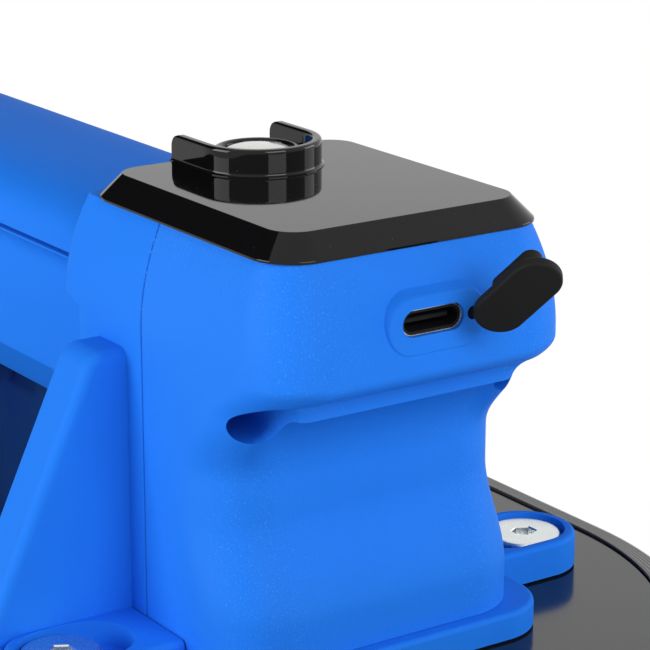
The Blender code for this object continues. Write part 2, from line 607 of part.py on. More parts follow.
def end_covers(finishes):
    """The front cover with the charging port and the rear cover with its exhaust slots, and their screws."""
    blue = finishes["blue"]
    front = cover_shell("front_cover", FRONT_FACE, FRONT_NECK, FRONT_SPREAD, FRONT_SEAM, 1, POST_TOP, True,
                        blue)
    back = cover_shell("rear_cover", REAR_FACE, REAR_NECK, REAR_SPREAD, REAR_SEAM, -1, REAR_TOP, False, blue)
    for cover, seam, side, outside in ((front, FRONT_SEAM, 1, FRONT_FACE + 1 * MM),
                                       (back, REAR_SEAM, -1, REAR_FACE - 1 * MM)):
        for hand in (1, -1):
            tag = f"{'front' if side > 0 else 'rear'}_{'left' if hand < 0 else 'right'}"
            cut(cover, screw_way(f"way_{tag}", seam, side, hand * COVER_SCREW_Y, outside))
            cover_screw(f"cover_screw_{tag}", seam, side, hand * COVER_SCREW_Y, finishes["steel"])
    recess_loops = []
    for x, grow in ((RECESS_FLOOR, 0), (RECESS_FLOOR + 0.6 * MM, 0.15 * MM),
                    (FRONT_FACE + 0.01 * MM, RECESS_BEVEL), (FRONT_FACE + 1 * MM, RECESS_BEVEL)):
        outline = obround(RECESS_LENGTH + 2 * grow, RECESS_HEIGHT + 2 * grow, 10)
        recess_loops.append([(x, y + PORT_Y, z + PORT_Z) for y, z in outline])
    opening = obround(PORT_LENGTH + 2 * FIT, PORT_HEIGHT + 2 * FIT)
    strap_way = circle(STRAP_RADIUS + FIT, 12)
    strap_place = (PORT_Y + STRAP_OFFSET, PORT_Z)
    through = (FRONT_FACE - WALL - 1 * MM, RECESS_FLOOR + 0.3 * MM)
    cut(front, helper("port_recess", loft(recess_loops)),
        helper("strap_way", along_x(strap_way, *through, strap_place)),
        helper("port_opening", along_x(opening, *through, (PORT_Y, PORT_Z))))
    slot = obround(EXHAUST_LENGTH, EXHAUST_HEIGHT, 6)
    for k in range(EXHAUST_ROWS):
        height = HEAD_BOTTOM + 3.7 * MM + k * EXHAUST_PITCH
        cut(back, helper(f"exhaust_slot_{k}", along_x(slot, REAR_FACE - 1 * MM, REAR_FACE + WALL + 1 * MM,
                                                      (0, height))))


def arch(half_width, low, high, steps=18):
    """Outline of the handle's upper half: flat below, a soft arch above."""
    points = []
    for i in range(steps + 1):
        angle = math.pi * i / steps
        across, up = math.cos(angle), math.sin(angle)
        points.append((math.copysign(abs(across) ** ARCH_FULLNESS, across) * half_width,
                       low + up ** ARCH_FULLNESS * (high - low)))
    return points


def handle_cover(finishes):
    """The arched upper half of the handle, between the two posts."""
    half = HANDLE_HALF_WIDTH + COVER_OVERHANG
    low = HANDLE_SPLIT + FIT
    outer = along_x(arch(half, low, HANDLE_TOP), REAR_IN + FIT, FRONT_HEAD_IN - FIT)
    cover = add_object("handle_cover", outer, finishes["blue"])
    inner = arch(half - COVER_WALL, low - 1 * MM, HANDLE_TOP - WALL)
    cut(cover, helper("cover_hollow", along_x(inner, REAR_IN - 1 * MM, FRONT_HEAD_IN + 1 * MM)))


def display_panel(finishes):
    """Bevelled glossy plate, its U shaped button guard, and the sprung power button."""
    low = (FRONT_HEAD_IN + PANEL_BACK_MARGIN, PANEL_MARGIN - POST_HALF_WIDTH)
    high = (FRONT_FACE - PANEL_MARGIN, POST_HALF_WIDTH - PANEL_MARGIN)
    loops = []
    for z, inset in ((PANEL_BOTTOM, 0), (PANEL_BOTTOM + PANEL_EDGE, 0), (PANEL_TOP, PANEL_CHAMFER_WIDTH)):
        outline = round_rect((low[0] + inset, low[1] + inset), (high[0] - inset, high[1] - inset),
                             (PANEL_CORNER - 0.8 * inset,) * 4)
        loops.append([(x, y, z) for x, y in outline])
    panel = add_object("display_panel", loft(loops), finishes["gloss"])
    hole = upright(circle(BUTTON_RADIUS + FIT), PANEL_BOTTOM - 1 * MM, PANEL_TOP + 1 * MM, (BUTTON_X, 0))
    cut(panel, helper("button_hole", hole))
    low = PANEL_TOP + FIT
    guard = add_object("button_guard", upright(guard_outline(0), low, low + GUARD_HEIGHT), finishes["gloss"])
    join(guard, helper("guard_foot", upright(guard_outline(GUARD_FOOT), low, low + GUARD_FOOT)))


def guard_outline(grow, steps=16):
    """A U open towards the handle, as thick as its wall and grown outwards for its foot."""
    def line(radius):
        start = BUTTON_X - GUARD_LEG - grow
        arc = [(BUTTON_X + radius * math.cos(a), radius * math.sin(a))
               for a in (math.pi * (i / steps - 0.5) for i in range(steps + 1))]
        return [(start, -radius)] + arc + [(start, radius)]

    return line(GUARD_RADIUS + grow) + line(GUARD_RADIUS - GUARD_WALL)[::-1]


def power_button(finishes):
    """Round cap with a collar that keeps it under the panel, and a pale face let into its top."""
    top = PANEL_TOP + BUTTON_PROUD
    collar_top = PANEL_BOTTOM - FIT
    collar = 0.9 * MM
    wide, rim_in, rim_top = BUTTON_RADIUS + 1 * MM, BUTTON_FACE_RADIUS + FIT, top + BUTTON_RIM
    soft = 0.35 * MM
    profile = [(0, collar_top - collar), (wide, collar_top - collar), (wide, collar_top),
               (BUTTON_RADIUS, collar_top), (BUTTON_RADIUS, rim_top - soft), (BUTTON_RADIUS - soft, rim_top),
               (rim_in + soft, rim_top), (rim_in, rim_top - soft), (rim_in, top), (0, top)]
    place_on_pivot(add_object("power_button", turned(profile, (BUTTON_X, 0)), finishes["gloss"]),
                   pivot("button_slide", (BUTTON_X, 0, PANEL_TOP)))
    base = top + FIT
    edge, reach = base + 0.2 * MM, BUTTON_FACE_RADIUS
    face = [(0, base), (reach, base), (reach, edge), (0.6 * reach, edge + 0.5 * BUTTON_FACE_HEIGHT),
            (0, edge + 0.7 * BUTTON_FACE_HEIGHT)]
    place_on_pivot(add_object("button_face", turned(face, (BUTTON_X, 0)), finishes["silver"]),
                   bpy.data.objects["button_slide"])


def pivot(name, place):
    """An empty on a joint's axis."""
    empty = bpy.data.objects.new(name, None)
    empty.location = place
    empty.empty_display_size = 5 * MM
    bpy.context.scene.collection.objects.link(empty)
    return empty


def place_on_pivot(obj, empty):
    """Hangs a piece, modelled in place, on the empty that it moves with."""
    obj.data.transform(Matrix.Translation(-empty.location))
    obj.parent = empty


def charging_port(finishes):
    """Metal receptacle with its tongue on a moulded seat, and the loose rubber plug on its stem."""
    front = RECESS_FLOOR - 0.1 * MM
    middle = (PORT_Y, PORT_Z)
    back = front - PORT_DEPTH
    outer = obround(PORT_LENGTH, PORT_HEIGHT)
    shell = add_object("usb_shell", along_x(outer, back, front, middle), finishes["steel"])
    mouth = obround(PORT_LENGTH - 2 * PORT_SHELL, PORT_HEIGHT - 2 * PORT_SHELL)
    cut(shell, helper("usb_mouth", along_x(mouth, back + 1 * MM, front + 1 * MM, middle)))
    tongue = round_rect((-3.3 * MM, -0.35 * MM), (3.3 * MM, 0.35 * MM), (0.2 * MM,) * 4, 2)
    tongue = along_x(tongue, back + 1 * MM + FIT, front - 1.2 * MM, middle)
    add_object("usb_tongue", tongue, finishes["black"])
    seat_top = PORT_Z - PORT_HEIGHT / 2 - FIT
    seat = round_rect((back, PORT_Y - 6 * MM), (FRONT_FACE - WALL - FIT, PORT_Y + 4 * MM), (1 * MM,) * 4, 2)
    add_object("usb_seat", upright(seat, BOSS_HIGH + FIT, seat_top), finishes["black"])
    port_plug(finishes)


def port_plug(finishes):
    """Rubber plug, a cap with a stub that enters the port, and the strap whose end it swings on.

    It is modelled closed in front of the port, its strap end on the pivot, and then turned to hang open.
    """
    hinge = pivot("plug_pivot", (FRONT_FACE + PLUG_PIVOT_OUT, PORT_Y + PLUG_PIVOT_OFFSET,
                                 PORT_Z + PLUG_PIVOT_RISE))
    cap = [(y - PLUG_PIVOT_OFFSET, z - PLUG_PIVOT_RISE) for y, z in obround(PLUG_LENGTH, PLUG_WIDTH, 10)]
    plug = add_object("port_plug", along_x(cap, 0, PLUG_THICKNESS), finishes["soft"])
    stub = [(y - PLUG_PIVOT_OFFSET, z - PLUG_PIVOT_RISE) for y, z in obround(STUB_LENGTH, STUB_WIDTH)]
    stub = helper("plug_stub", along_x(stub, -STUB_DEPTH, 0.5 * MM))
    join(plug, stub)
    plug.parent = stub.parent = hinge
    hinge.rotation_euler = PLUG_TURN
    inside = FRONT_FACE - WALL - FIT
    place = (PORT_Y + STRAP_OFFSET, PORT_Z)
    bend = RECESS_FLOOR + 0.5 * MM
    path = ((inside - 1 * MM, *place), (bend, *place),
            (hinge.location.x - 2 * FIT, hinge.location.y, hinge.location.z))
    loops = [[(x, y + across, z + up) for y, z in circle(STRAP_RADIUS, 12)] for x, across, up in path]
    strap = add_object("plug_strap", loft(loops), finishes["soft"])
    join(strap, helper("strap_bulb", along_x(circle(STRAP_BULB, 16), inside - 2 * MM, inside, place)))


def electronics(finishes):
    """Control board, display, key switch, battery cell and its cradle."""
    half = POST_HALF_WIDTH - WALL - FIT
    low, high = FRONT_IN + 3.5 * MM, FRONT_FACE - WALL - 2 * MM
    outline = round_rect((low, -half), (high, half), (6 * MM,) * 4, 3)
    add_object("control_board", upright(outline, BOARD_TOP - BOARD_THICKNESS, BOARD_TOP), finishes["board"])
    far = FRONT_FACE - PANEL_MARGIN - 6 * MM
    seat = BOARD_TOP + FIT
    near, half = far - DISPLAY_LENGTH, DISPLAY_HALF_WIDTH
    outline = round_rect((near, -half), (far, half), (1 * MM,) * 4, 2)
    add_object("display_module", upright(outline, seat, PANEL_BOTTOM - FIT), finishes["black"])
    side = SWITCH_SIDE / 2
    outline = round_rect((BUTTON_X - side, -side), (BUTTON_X + side, side), (0.5 * MM,) * 4, 2)
    add_object("key_switch", upright(outline, seat, seat + SWITCH_HEIGHT - BUTTON_TRAVEL), finishes["black"])
    middle = (REAR_IN + FRONT_IN) / 2
    low, high = middle - CELL_LENGTH / 2, middle + CELL_LENGTH / 2
    add_object("battery_cell", along_x(circle(CELL_RADIUS), low, high, (0, CELL_Z)), finishes["cell"])
    inner = HANDLE_HALF_WIDTH - HANDLE_WALL - FIT
    floor = HANDLE_BOTTOM + WALL + FIT
    outline = handle_section(inner, floor, HANDLE_SPLIT - 5 * MM, HANDLE_EDGE - WALL, 0.3 * MM)
    cradle = add_object("battery_cradle", along_x(outline, low - 4 * MM, high + 4 * MM), finishes["black"])
    bed = along_x(circle(CELL_RADIUS + FIT), low - FIT, high + FIT, (0, CELL_Z))
    cut(cradle, helper("cell_bed", bed))


def vacuum_pump(finishes):
    """Pump stack in the rear post: valve head, diaphragm, crank case, motor and its turning shaft."""
    centre = (PUMP_X, 0)
    black = finishes["black"]
    body = circle(PUMP_RADIUS)
    head = upright(body, PUMP_SEAT, PUMP_SEAT + VALVE_HEAD_HEIGHT, centre)
    nipple_top = PUMP_SEAT + 5 * MM
    inlet = upright(circle(NIPPLE_RADIUS + FIT, 24), PUMP_SEAT - 1 * MM, nipple_top + FIT, centre)
    cut(add_object("pump_valve_head", head, black), helper("head_inlet", inlet))
    nipple = upright(circle(NIPPLE_RADIUS, 24), PLATE_BOTTOM - 0.2 * MM, nipple_top, centre)
    bore = upright(circle(NIPPLE_BORE, 16), PLATE_BOTTOM - 2 * MM, nipple_top + 1 * MM, centre)
    cut(add_object("inlet_nipple", nipple, finishes["brass"]), helper("nipple_bore", bore))
    filter_top = PLATE_BOTTOM - 0.2 * MM - FIT
    disc = upright(circle(FILTER_RADIUS, 24), filter_top - FILTER_THICKNESS, filter_top, centre)
    add_object("inlet_filter", disc, finishes["foam"])
    disc = upright(body, DIAPHRAGM_SEAT, DIAPHRAGM_SEAT + DIAPHRAGM_THICKNESS, centre)
    add_object("pump_diaphragm", disc, finishes["rubber"])
    case_top = CASE_SEAT + CRANK_CASE_HEIGHT
    roof = 2 * MM
    hollow = upright(circle(PUMP_RADIUS - 2 * MM), CASE_SEAT - 1 * MM, case_top - roof, centre)
    way = upright(circle(SHAFT_RADIUS + FIT, 16), CASE_SEAT, case_top + 1 * MM, centre)
    cut(add_object("crank_case", upright(body, CASE_SEAT, case_top, centre), black),
        helper("case_hollow", hollow), helper("case_shaft_way", way))
    can = upright(circle(MOTOR_RADIUS), MOTOR_SEAT, MOTOR_SEAT + MOTOR_LENGTH, centre)
    shaft_top = MOTOR_SEAT + 12 * MM
    bore = upright(circle(SHAFT_RADIUS + FIT, 16), MOTOR_SEAT - 1 * MM, shaft_top + FIT, centre)
    cut(add_object("pump_motor", can, finishes["steel"]), helper("motor_bore", bore))
    spin = pivot("motor_axis", (PUMP_X, 0, MOTOR_SEAT))
    crank_low = CASE_SEAT + CRANK_PIN_LENGTH + 1 * MM
    crank_high = crank_low + CRANK_THICKNESS
    shaft = upright(circle(SHAFT_RADIUS, 16), crank_high + FIT, shaft_top, centre)
    place_on_pivot(add_object("motor_shaft", shaft, finishes["steel"]), spin)
    disc = upright(circle(CRANK_RADIUS), crank_low, crank_high, centre)
    crank = add_object("pump_crank", disc, finishes["brass"])
    pin = upright(circle(CRANK_PIN_RADIUS, 16), crank_low - CRANK_PIN_LENGTH, crank_low + 1 * MM,
                  (PUMP_X + CRANK_PIN_OFFSET, 0))
    place_on_pivot(join(crank, helper("crank_pin", pin)), spin)
    place_on_pivot(bpy.data.objects["crank_pin"], spin)


def vent_valve(finishes):
    """Solenoid valve in the front post that lets air into the base: coil, plunger, seal and spring."""
    low = FLANGE_TOP + FIT
    centre = (VENT_X, 0)
    coil = upright(circle(VENT_RADIUS), low, low + VENT_HEIGHT, centre)
    spring_seat = low + 8 * MM
    wide = SPRING_RADIUS + SPRING_WIRE + 2 * FIT
    bore_top = low + PLUNGER_LENGTH + VENT_LIFT
    bore = upright(circle(PLUNGER_RADIUS + FIT, 20), low - 1 * MM, bore_top, centre)
    room = upright(circle(wide, 24), low - 1 * MM, spring_seat, centre)
    cut(add_object("vent_coil", coil, finishes["black"]), helper("vent_bore", bore),
        helper("vent_spring_room", room))
    slide = pivot("vent_slide", (VENT_X, 0, low))
    seal_low = PLATE_TOP + FIT
    seal_top = seal_low + VENT_SEAL_THICKNESS
    seal = upright(circle(VENT_SEAL_RADIUS, 24), seal_low, seal_top, centre)
    place_on_pivot(add_object("vent_seal", seal, finishes["rubber"]), slide)
    plunger = upright(circle(PLUNGER_RADIUS, 20), seal_top + FIT, seal_top + FIT + PLUNGER_LENGTH, centre)
    place_on_pivot(add_object("vent_plunger", plunger, finishes["steel"]), slide)
    vent_spring(seal_top + FIT + SPRING_WIRE, spring_seat - FIT - SPRING_WIRE, finishes)
    half = SENSOR_SIDE / 2
    outline = round_rect((SENSOR_X - half, -half), (SENSOR_X + half, half), (1 * MM,) * 4, 2)
    add_object("pressure_sensor", upright(outline, low, low + SENSOR_HEIGHT), finishes["black"])


def vent_spring(low, high, finishes):
    """Helical spring round the plunger, as one tube; prints its least gap to itself."""
    curve = bpy.data.curves.new("vent_spring", "CURVE")
    curve.dimensions = "3D"
    curve.bevel_depth = SPRING_WIRE
    curve.bevel_resolution = 1
    curve.use_fill_caps = True
    per_turn = 10
    count = SPRING_TURNS * per_turn + 1
    line = curve.splines.new("POLY")
    line.points.add(count - 1)
    for i, point in enumerate(line.points):
        angle = 2 * math.pi * i / per_turn
        point.co = (VENT_X + SPRING_RADIUS * math.cos(angle), SPRING_RADIUS * math.sin(angle),
                    low + (high - low) * i / (count - 1), 1)
    obj = bpy.data.objects.new("vent_spring", curve)
    bpy.context.scene.collection.objects.link(obj)
    curve.materials.append(finishes["steel"])
    print(f"vent_spring least gap {((high - low) / SPRING_TURNS - 2 * SPRING_WIRE) / MM:.2f} mm")


def lug_screws(finishes):
    """Flat headed screws that hold the feet to the base plate, with a hexagon socket."""
    seat = LUG_SEAT + FIT
    top = seat + LUG_SCREW_HEAD_HEIGHT
    tip = max(seat - LUG_SCREW_LENGTH, PLATE_BOTTOM + 0.5 * MM)
    for side, x in (("front", FRONT_LUG_X), ("rear", REAR_LUG_X)):
        for hand, y in (("left", -LUG_Y), ("right", LUG_Y)):
            profile = [(0, tip), (LUG_SCREW_RADIUS, tip), (LUG_SCREW_RADIUS, seat), (LUG_SCREW_HEAD, seat),
                       (LUG_SCREW_HEAD, top - 0.6 * MM), (LUG_SCREW_HEAD - 0.2 * MM, top - 0.2 * MM),
                       (LUG_SCREW_HEAD - 0.6 * MM, top), (0, top)]
            screw = add_object(f"lug_screw_{side}_{hand}", turned(profile, (x, y), 24), finishes["steel"])
            socket = upright(circle(LUG_SCREW_HEX, 6), top - 1.4 * MM, top + 1 * MM, (x, y))
            cut(screw, helper(f"socket_{side}_{hand}", socket))


def main():
    clear_scene()
    finishes = {
        "blue": material("blue_housing", (0.03, 0.21, 0.87), 0.45),
        "gloss": material("gloss_black", (0.012, 0.012, 0.013), 0.06),
        "soft": material("soft_black", (0.014, 0.014, 0.014), 0.6),
        "rubber": material("black_rubber", (0.035, 0.035, 0.035), 0.45),
        "foam": material("seal_foam", (0.05, 0.05, 0.05), 0.9),
        "plate": material("base_plastic", (0.03, 0.03, 0.032), 0.35),
        "steel": material("bright_steel", (0.72, 0.73, 0.74), 0.25, 1.0),
        "silver": material("button_silver", (0.7, 0.7, 0.68), 0.2, 0.8),
        "black": material("inner_black", (0.02, 0.02, 0.02), 0.5),
        "board": material("board_green", (0.01, 0.12, 0.05), 0.4),
        "cell": material("cell_wrap", (0.05, 0.3, 0.12), 0.35),
        "brass": material("brass", (0.72, 0.5, 0.2), 0.3, 1.0),
    }
    suction_base(finishes)
    body_frame(finishes)
    end_covers(finishes)
    handle_cover(finishes)
    display_panel(finishes)
    power_button(finishes)
    charging_port(finishes)
    electronics(finishes)
    vacuum_pump(finishes)
    vent_valve(finishes)
    lug_screws(finishes)


main()
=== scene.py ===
"""Look of a battery suction lifter: finer mouldings, finishes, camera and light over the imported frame."""

import math
from collections import namedtuple

import bmesh
import bpy
from mathutils import Euler, Matrix, Vector


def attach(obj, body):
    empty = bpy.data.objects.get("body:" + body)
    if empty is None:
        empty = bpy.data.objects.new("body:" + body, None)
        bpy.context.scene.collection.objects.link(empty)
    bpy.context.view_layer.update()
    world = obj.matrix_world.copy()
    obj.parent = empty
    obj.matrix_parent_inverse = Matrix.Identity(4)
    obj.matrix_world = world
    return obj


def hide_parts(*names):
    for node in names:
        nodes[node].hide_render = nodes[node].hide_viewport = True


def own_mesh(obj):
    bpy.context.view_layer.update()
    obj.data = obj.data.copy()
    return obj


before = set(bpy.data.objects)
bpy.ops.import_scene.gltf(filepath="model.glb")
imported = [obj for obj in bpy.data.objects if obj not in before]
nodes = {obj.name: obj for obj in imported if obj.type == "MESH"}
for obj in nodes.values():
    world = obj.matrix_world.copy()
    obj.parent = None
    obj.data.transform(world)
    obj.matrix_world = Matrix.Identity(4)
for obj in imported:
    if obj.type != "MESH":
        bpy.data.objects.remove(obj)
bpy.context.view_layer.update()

MM = 0.001

# Places and sizes in millimetres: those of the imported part, set closer to the photograph at the head
BASE_STRAIGHT, BASE_HALF, PLATE_EDGE = 57, 57, 51.3
PLATE_BOTTOM, PLATE_TOP, SKIRT_TOP, SKIRT_LIP = 12, 18, 18.4, 3
FOAM_IN, FOAM_OUT, FOAM_HEIGHT = 41.5, 52.7, 7.9
FLANGE_BOTTOM, FLANGE_TOP = 18.3, 21.9
LUG_Y, LUG_RADIUS, LUG_POCKET, LUG_SEAT, LUG_TOP = 36.9, 7.2, 5.8, 20.0, 23.2
LUG_SCREW, LUG_HEAD, LUG_WAY = 2.5, 5.3, 2.8

# A post's side of the middle and x of its surfaces; spread widens its foot, and top is a height
Post = namedtuple("Post", "side face neck spread seam inside head top lug foot")
FRONT = Post(1, 90.8, 77, 4.5, 59.9, 40.5, 37, 75.1, 62.4, 83.5)
REAR = Post(-1, -102, -98.5, 2, -82, -65, -65, 71, -64.5, -102.5)
POST_HALF, POST_CORNER, SEAM_GAP, SEAM_CORNER, WALL = 23, 9, 0.07, 0.25, 2.5
FLARE_LOW, FLARE_TOP, NECK_TOP, STRIP_LOW, STRIP_TOP, HEAD_LOW = 27, 40, 44.5, 55, 57.6, 60.6
STRIP_DEPTH, STRIP_LEAN, STRIP_HALF, STRIP_FADE = 5.2, 0.15, 14.5, 4.5
STEP_LOW, STEP_TOP, STEP_CORNER = 60.4, 62, 5
CURVE_DROP, CURVE_SPAN, CURVE_IN, CURVE_SIDE_SHARE = 13.7, 12.7, 3.2, 0.85

# Hollows of the posts, and the ways of the screws that hold the covers
HOLLOW_HALF, HOLLOW_TOP_HALF = 20.5, 18.2
WINDOW_LOW, WINDOW_HIGH, WINDOW_CORNER = (44, -18), (85.8, 18), 4
BOSS_LOW, BOSS_HIGH, BOSS_HALF = 49.5, 61, 14.4
SCREW_Y, SCREW_Z, SCREW_WAY, SCREW_REACH = 18.6, 54.6, 1.7, 13
BORE_Y, BORE_Z, BORE_RADIUS, BORE_FLOOR = 19.1, 54.5, 3.1, 4.7
EXHAUST_LENGTH, EXHAUST_WIDTH, EXHAUST_LOW, EXHAUST_PITCH, EXHAUST_ROWS = 16, 2.4, 61.3, 2.9, 3

# Handle, panel with its button, charging port and plug
HANDLE_HALF, HANDLE_LOW, HANDLE_SPLIT, HANDLE_TOP = 15.2, 38, 64, 71.6
PANEL_LOW, PANEL_HIGH = (41.3, -20.4), (87.3, 20.4)
PANEL_TOP, PANEL_CORNER, PANEL_CHAMFER = 78.2, 6, 2.7
BUTTON, BUTTON_RADIUS, BUTTON_TOP, BUTTON_FACE = (51.5, 0), 5.9, 79.8, 4.4
GUARD_RADIUS, GUARD_WALL, GUARD_LEG, GUARD_TOP = 8.3, 1.3, 8, 81.8
PORT, PORT_FRONT, PORT_DEPTH = (-0.65, 66.65), 90.5, 7.5
PORT_LENGTH, PORT_HEIGHT, PORT_OPENING = 8.94, 3.26, (9.1, 3.4)
PAD_FACE, PAD_LENGTH, PAD_HEIGHT, PAD_SLOPE, PAD_FOOT = 90.9, 14.2, 6.8, 1.25, 1.9
PAD = (PORT[0] + 0.8, PORT[1] - 0.45)
STRAP_OFFSET, STRAP_RADIUS, STRAP_HOLE, STRAP_HEAD = 5.9, 0.55, 0.85, 1.3
PLUG_CAP, PLUG_STUB, PLUG_REACH = (13.1, 6.3), (8, 2.7), 3.65
PLUG_PIVOT, PLUG_MIDDLE = Vector((94.8, 5.6, 66.9)), (-5.2, -0.7)
PLUG_TURN = Euler((math.radians(-125.8), math.radians(30.6), math.radians(-36.3)), "XYZ")

# Pump and vent, which reach through the base
PUMP_X, PUMP_WAY = -81.2, 2.9
VENT_X, VENT_WAY, VENT_HOLE = 60, 4.1, 1.6

# What the lamps and the dark card are set round
AIM = (70, 0, 50)


class Value:
    """A socket of a finish; arithmetic on it adds Math nodes."""

    def __init__(self, finish, socket):
        self.finish = finish
        self.socket = socket

    def math(self, operation, other=0.0, swap=False):
        first, second = (other, self) if swap else (self, other)
        return self.finish.node("ShaderNodeMath", {"operation": operation}, {0: first, 1: second})

    def __add__(self, other):
        return self.math("ADD", other)

    def __sub__(self, other):
        return self.math("SUBTRACT", other)

    def __rsub__(self, other):
        return self.math("SUBTRACT", other, True)

    def __mul__(self, other):
        return self.math("MULTIPLY", other)

    __radd__ = __add__
    __rmul__ = __mul__

    def near(self, place, width):
        """1 where the value is within width of a place, else 0."""
        return (self - place).math("ABSOLUTE").math("LESS_THAN", width)

    def step(self, low, high):
        """0 below low, 1 above high, smooth between."""
        return self.finish.node("ShaderNodeMapRange", {"interpolation_type": "SMOOTHSTEP"},
                                {"Value": self, "From Min": low, "From Max": high})


class Finish:
    """A Principled material on Object coordinates; node() adds every other node."""

    def __init__(self, name, roughness=0.5, metallic=0.0, **constants):
        self.material = bpy.data.materials.new(name)
        self.material.use_nodes = True
        self.tree = self.material.node_tree
        self.shader = self.tree.nodes["Principled BSDF"]
        self.place = self.node("ShaderNodeTexCoord", out="Object")
        self.set("Roughness", roughness)
        self.set("Metallic", metallic)
        for socket, value in constants.items():
            self.set(socket.replace("_", " "), value)

    def node(self, kind, settings=None, inputs=None, out=0):
        made = self.tree.nodes.new(kind)
        for name, value in (settings or {}).items():
            setattr(made, name, value)
        for key, value in (inputs or {}).items():
            self.feed(made.inputs[key], value)
        return Value(self, made.outputs[out])

    def feed(self, socket, value):
        if isinstance(value, Value):
            self.tree.links.new(value.socket, socket)
        else:
            socket.default_value = value

    def set(self, socket, value):
        self.feed(self.shader.inputs[socket], value)

    def axis(self, name):
        """X, Y or Z in millimetres."""
        return self.node("ShaderNodeSeparateXYZ", None, {0: self.place}, out=name) * 1000

    def stretched(self, scale, turn=(0, 0, 0)):
        return self.node("ShaderNodeMapping", None, {"Vector": self.place, "Scale": scale, "Rotation": turn})

    def noise(self, size, detail=2.0, rough=0.5, place=None):
        """Soft noise with features about this many millimetres across, from 0 to 1."""
        return self.node("ShaderNodeTexNoise", None, {
            "Vector": place or self.place, "Scale": 1 / (size * MM), "Detail": detail, "Roughness": rough})

    def cells(self, size, feature="F1", place=None):
        return self.node("ShaderNodeTexVoronoi", {"feature": feature}, {
            "Vector": place or self.place, "Scale": 1 / (size * MM)})

    def mix(self, share, first, second):
        return self.node("ShaderNodeMix", {"data_type": "RGBA"}, {0: share, 6: first, 7: second}, out=2)

    def colour(self, share, first, second):
        self.set("Base Color", self.mix(share, (*first, 1), (*second, 1)))

    def relief(self, height, depth, strength=1.0):
        """Bump of this many millimetres."""
        self.set("Normal", self.node("ShaderNodeBump", None, {
            "Height": height, "Distance": depth * MM, "Strength": strength}))


DEEP_BLUE, CLEAR_BLUE = (0.013, 0.165, 0.75, 1), (0.018, 0.200, 0.82, 1)
# Pale blue of the painted glints along the corners, and pale blue of the flash, which under the panel is
# partly a painted glint
PAINTED_GLINT_BLUE, PALE_FLASH_AND_GLINT = (0.06, 0.34, 0.95, 1), (0.20, 0.42, 0.92, 1)


def with_flash_and_glint(finish, share):
    """The two blues mixed by share, with torn pale flash along the top of the seam, and under the panel a
    pale line that is part flash and part painted glint.
    """
    x, y, z = (finish.axis(name) for name in "XYZ")
    torn = finish.noise(0.4, 3, 0.7).step(0.5, 0.6)
    patch = finish.noise(7, 1).step(0.42, 0.55)
    seam = x.near(FRONT.seam, 0.14) * z.step(62, 66)
    # Painted highlight: the pale line along the post's top under the panel is partly a painted glint of the
    # panel's edge, partly flash
    rim_flash_and_glint = z.near(FRONT.top, 0.15) * y.step(0, -8)
    flash_and_glint = (seam + rim_flash_and_glint * patch).math("MINIMUM", 0.8) * torn
    return finish.mix(flash_and_glint, finish.mix(share, DEEP_BLUE, CLEAR_BLUE), PALE_FLASH_AND_GLINT)


def spark_blue():
    """Blue housing moulded against a spark-eroded tool: fine grain, with painted glints as pale flecks along
    the corners.
    """
    finish = Finish("spark_blue", Specular_IOR_Level=0.06)
    grain = finish.noise(0.17, 3, 0.6)
    drift = finish.noise(14, 2)
    across = finish.axis("Y").math("ABSOLUTE")
    # Painted highlight: pale flecks in the base colour along this corner band stand for glints of the grain
    corner = across.step(4, 17) * (1 - across.step(20.5, 22.8))
    painted_glint_speck = finish.noise(0.2, 2, 0.6).step(0.58, 0.7)
    blue = with_flash_and_glint(finish, grain * 0.7 + drift * 0.3)
    finish.set("Base Color", finish.mix(corner * painted_glint_speck * 0.5, blue, PAINTED_GLINT_BLUE))
    finish.set("Roughness", 0.45 + 0.15 * grain)
    finish.relief(grain, 0.035)
    return finish.material


def moulded_blue():
    """Blue housing with a smoother skin: slow waves, faint flow marks and scuffs."""
    finish = Finish("moulded_blue", Specular_IOR_Level=0.03)
    skin = finish.noise(0.45, 2)
    drift = finish.noise(18, 2)
    scuff = finish.noise(2.2, 4, 0.65, finish.stretched((1, 1, 0.25))).step(0.66, 0.72)
    finish.set("Base Color", with_flash_and_glint(finish, skin * 0.4 + drift * 0.6))
    finish.set("Roughness", 0.5 + 0.1 * skin + 0.12 * scuff)
    finish.relief(skin * 0.35 + drift * 6, 0.01)
    return finish.material


def gloss_black():
    """Polished black panel with dust and hairline wipes in its gloss."""
    finish = Finish("gloss_black", Specular_IOR_Level=0.25)
    dust = finish.cells(1.7).math("LESS_THAN", 0.05)
    wipe = finish.noise(0.5, 3, 0.6, finish.stretched((0.05, 1, 1), (0, 0, 0.5)))
    finish.colour(dust, (0.004, 0.004, 0.0045), (0.03, 0.03, 0.03))
    finish.set("Roughness", 0.04 + 0.05 * wipe.step(0.45, 0.8) + 0.3 * dust)
    finish.relief(finish.noise(9, 1), 0.004)
    return finish.material


def satin_black(name, base, roughness, grain, depth):
    """Dull moulded black of inner and small pieces."""
    finish = Finish(name, Specular_IOR_Level=0.12)
    skin = finish.noise(grain, 3)
    finish.colour(skin, [c * 0.75 for c in base], [c * 1.3 for c in base])
    finish.set("Roughness", roughness - 0.06 + 0.12 * skin)
    finish.relief(skin, depth)
    return finish.material


def pearl_white():
    """Silvery white face of the button, brighter in fine flakes."""
    finish = Finish("button_pearl", metallic=0.35, Coat_Weight=0.6)
    flake = finish.noise(0.12, 2)
    finish.colour(flake, (0.66, 0.65, 0.62), (0.84, 0.83, 0.8))
    finish.set("Roughness", 0.2 + 0.15 * flake)
    finish.relief(flake, 0.004)
    return finish.material


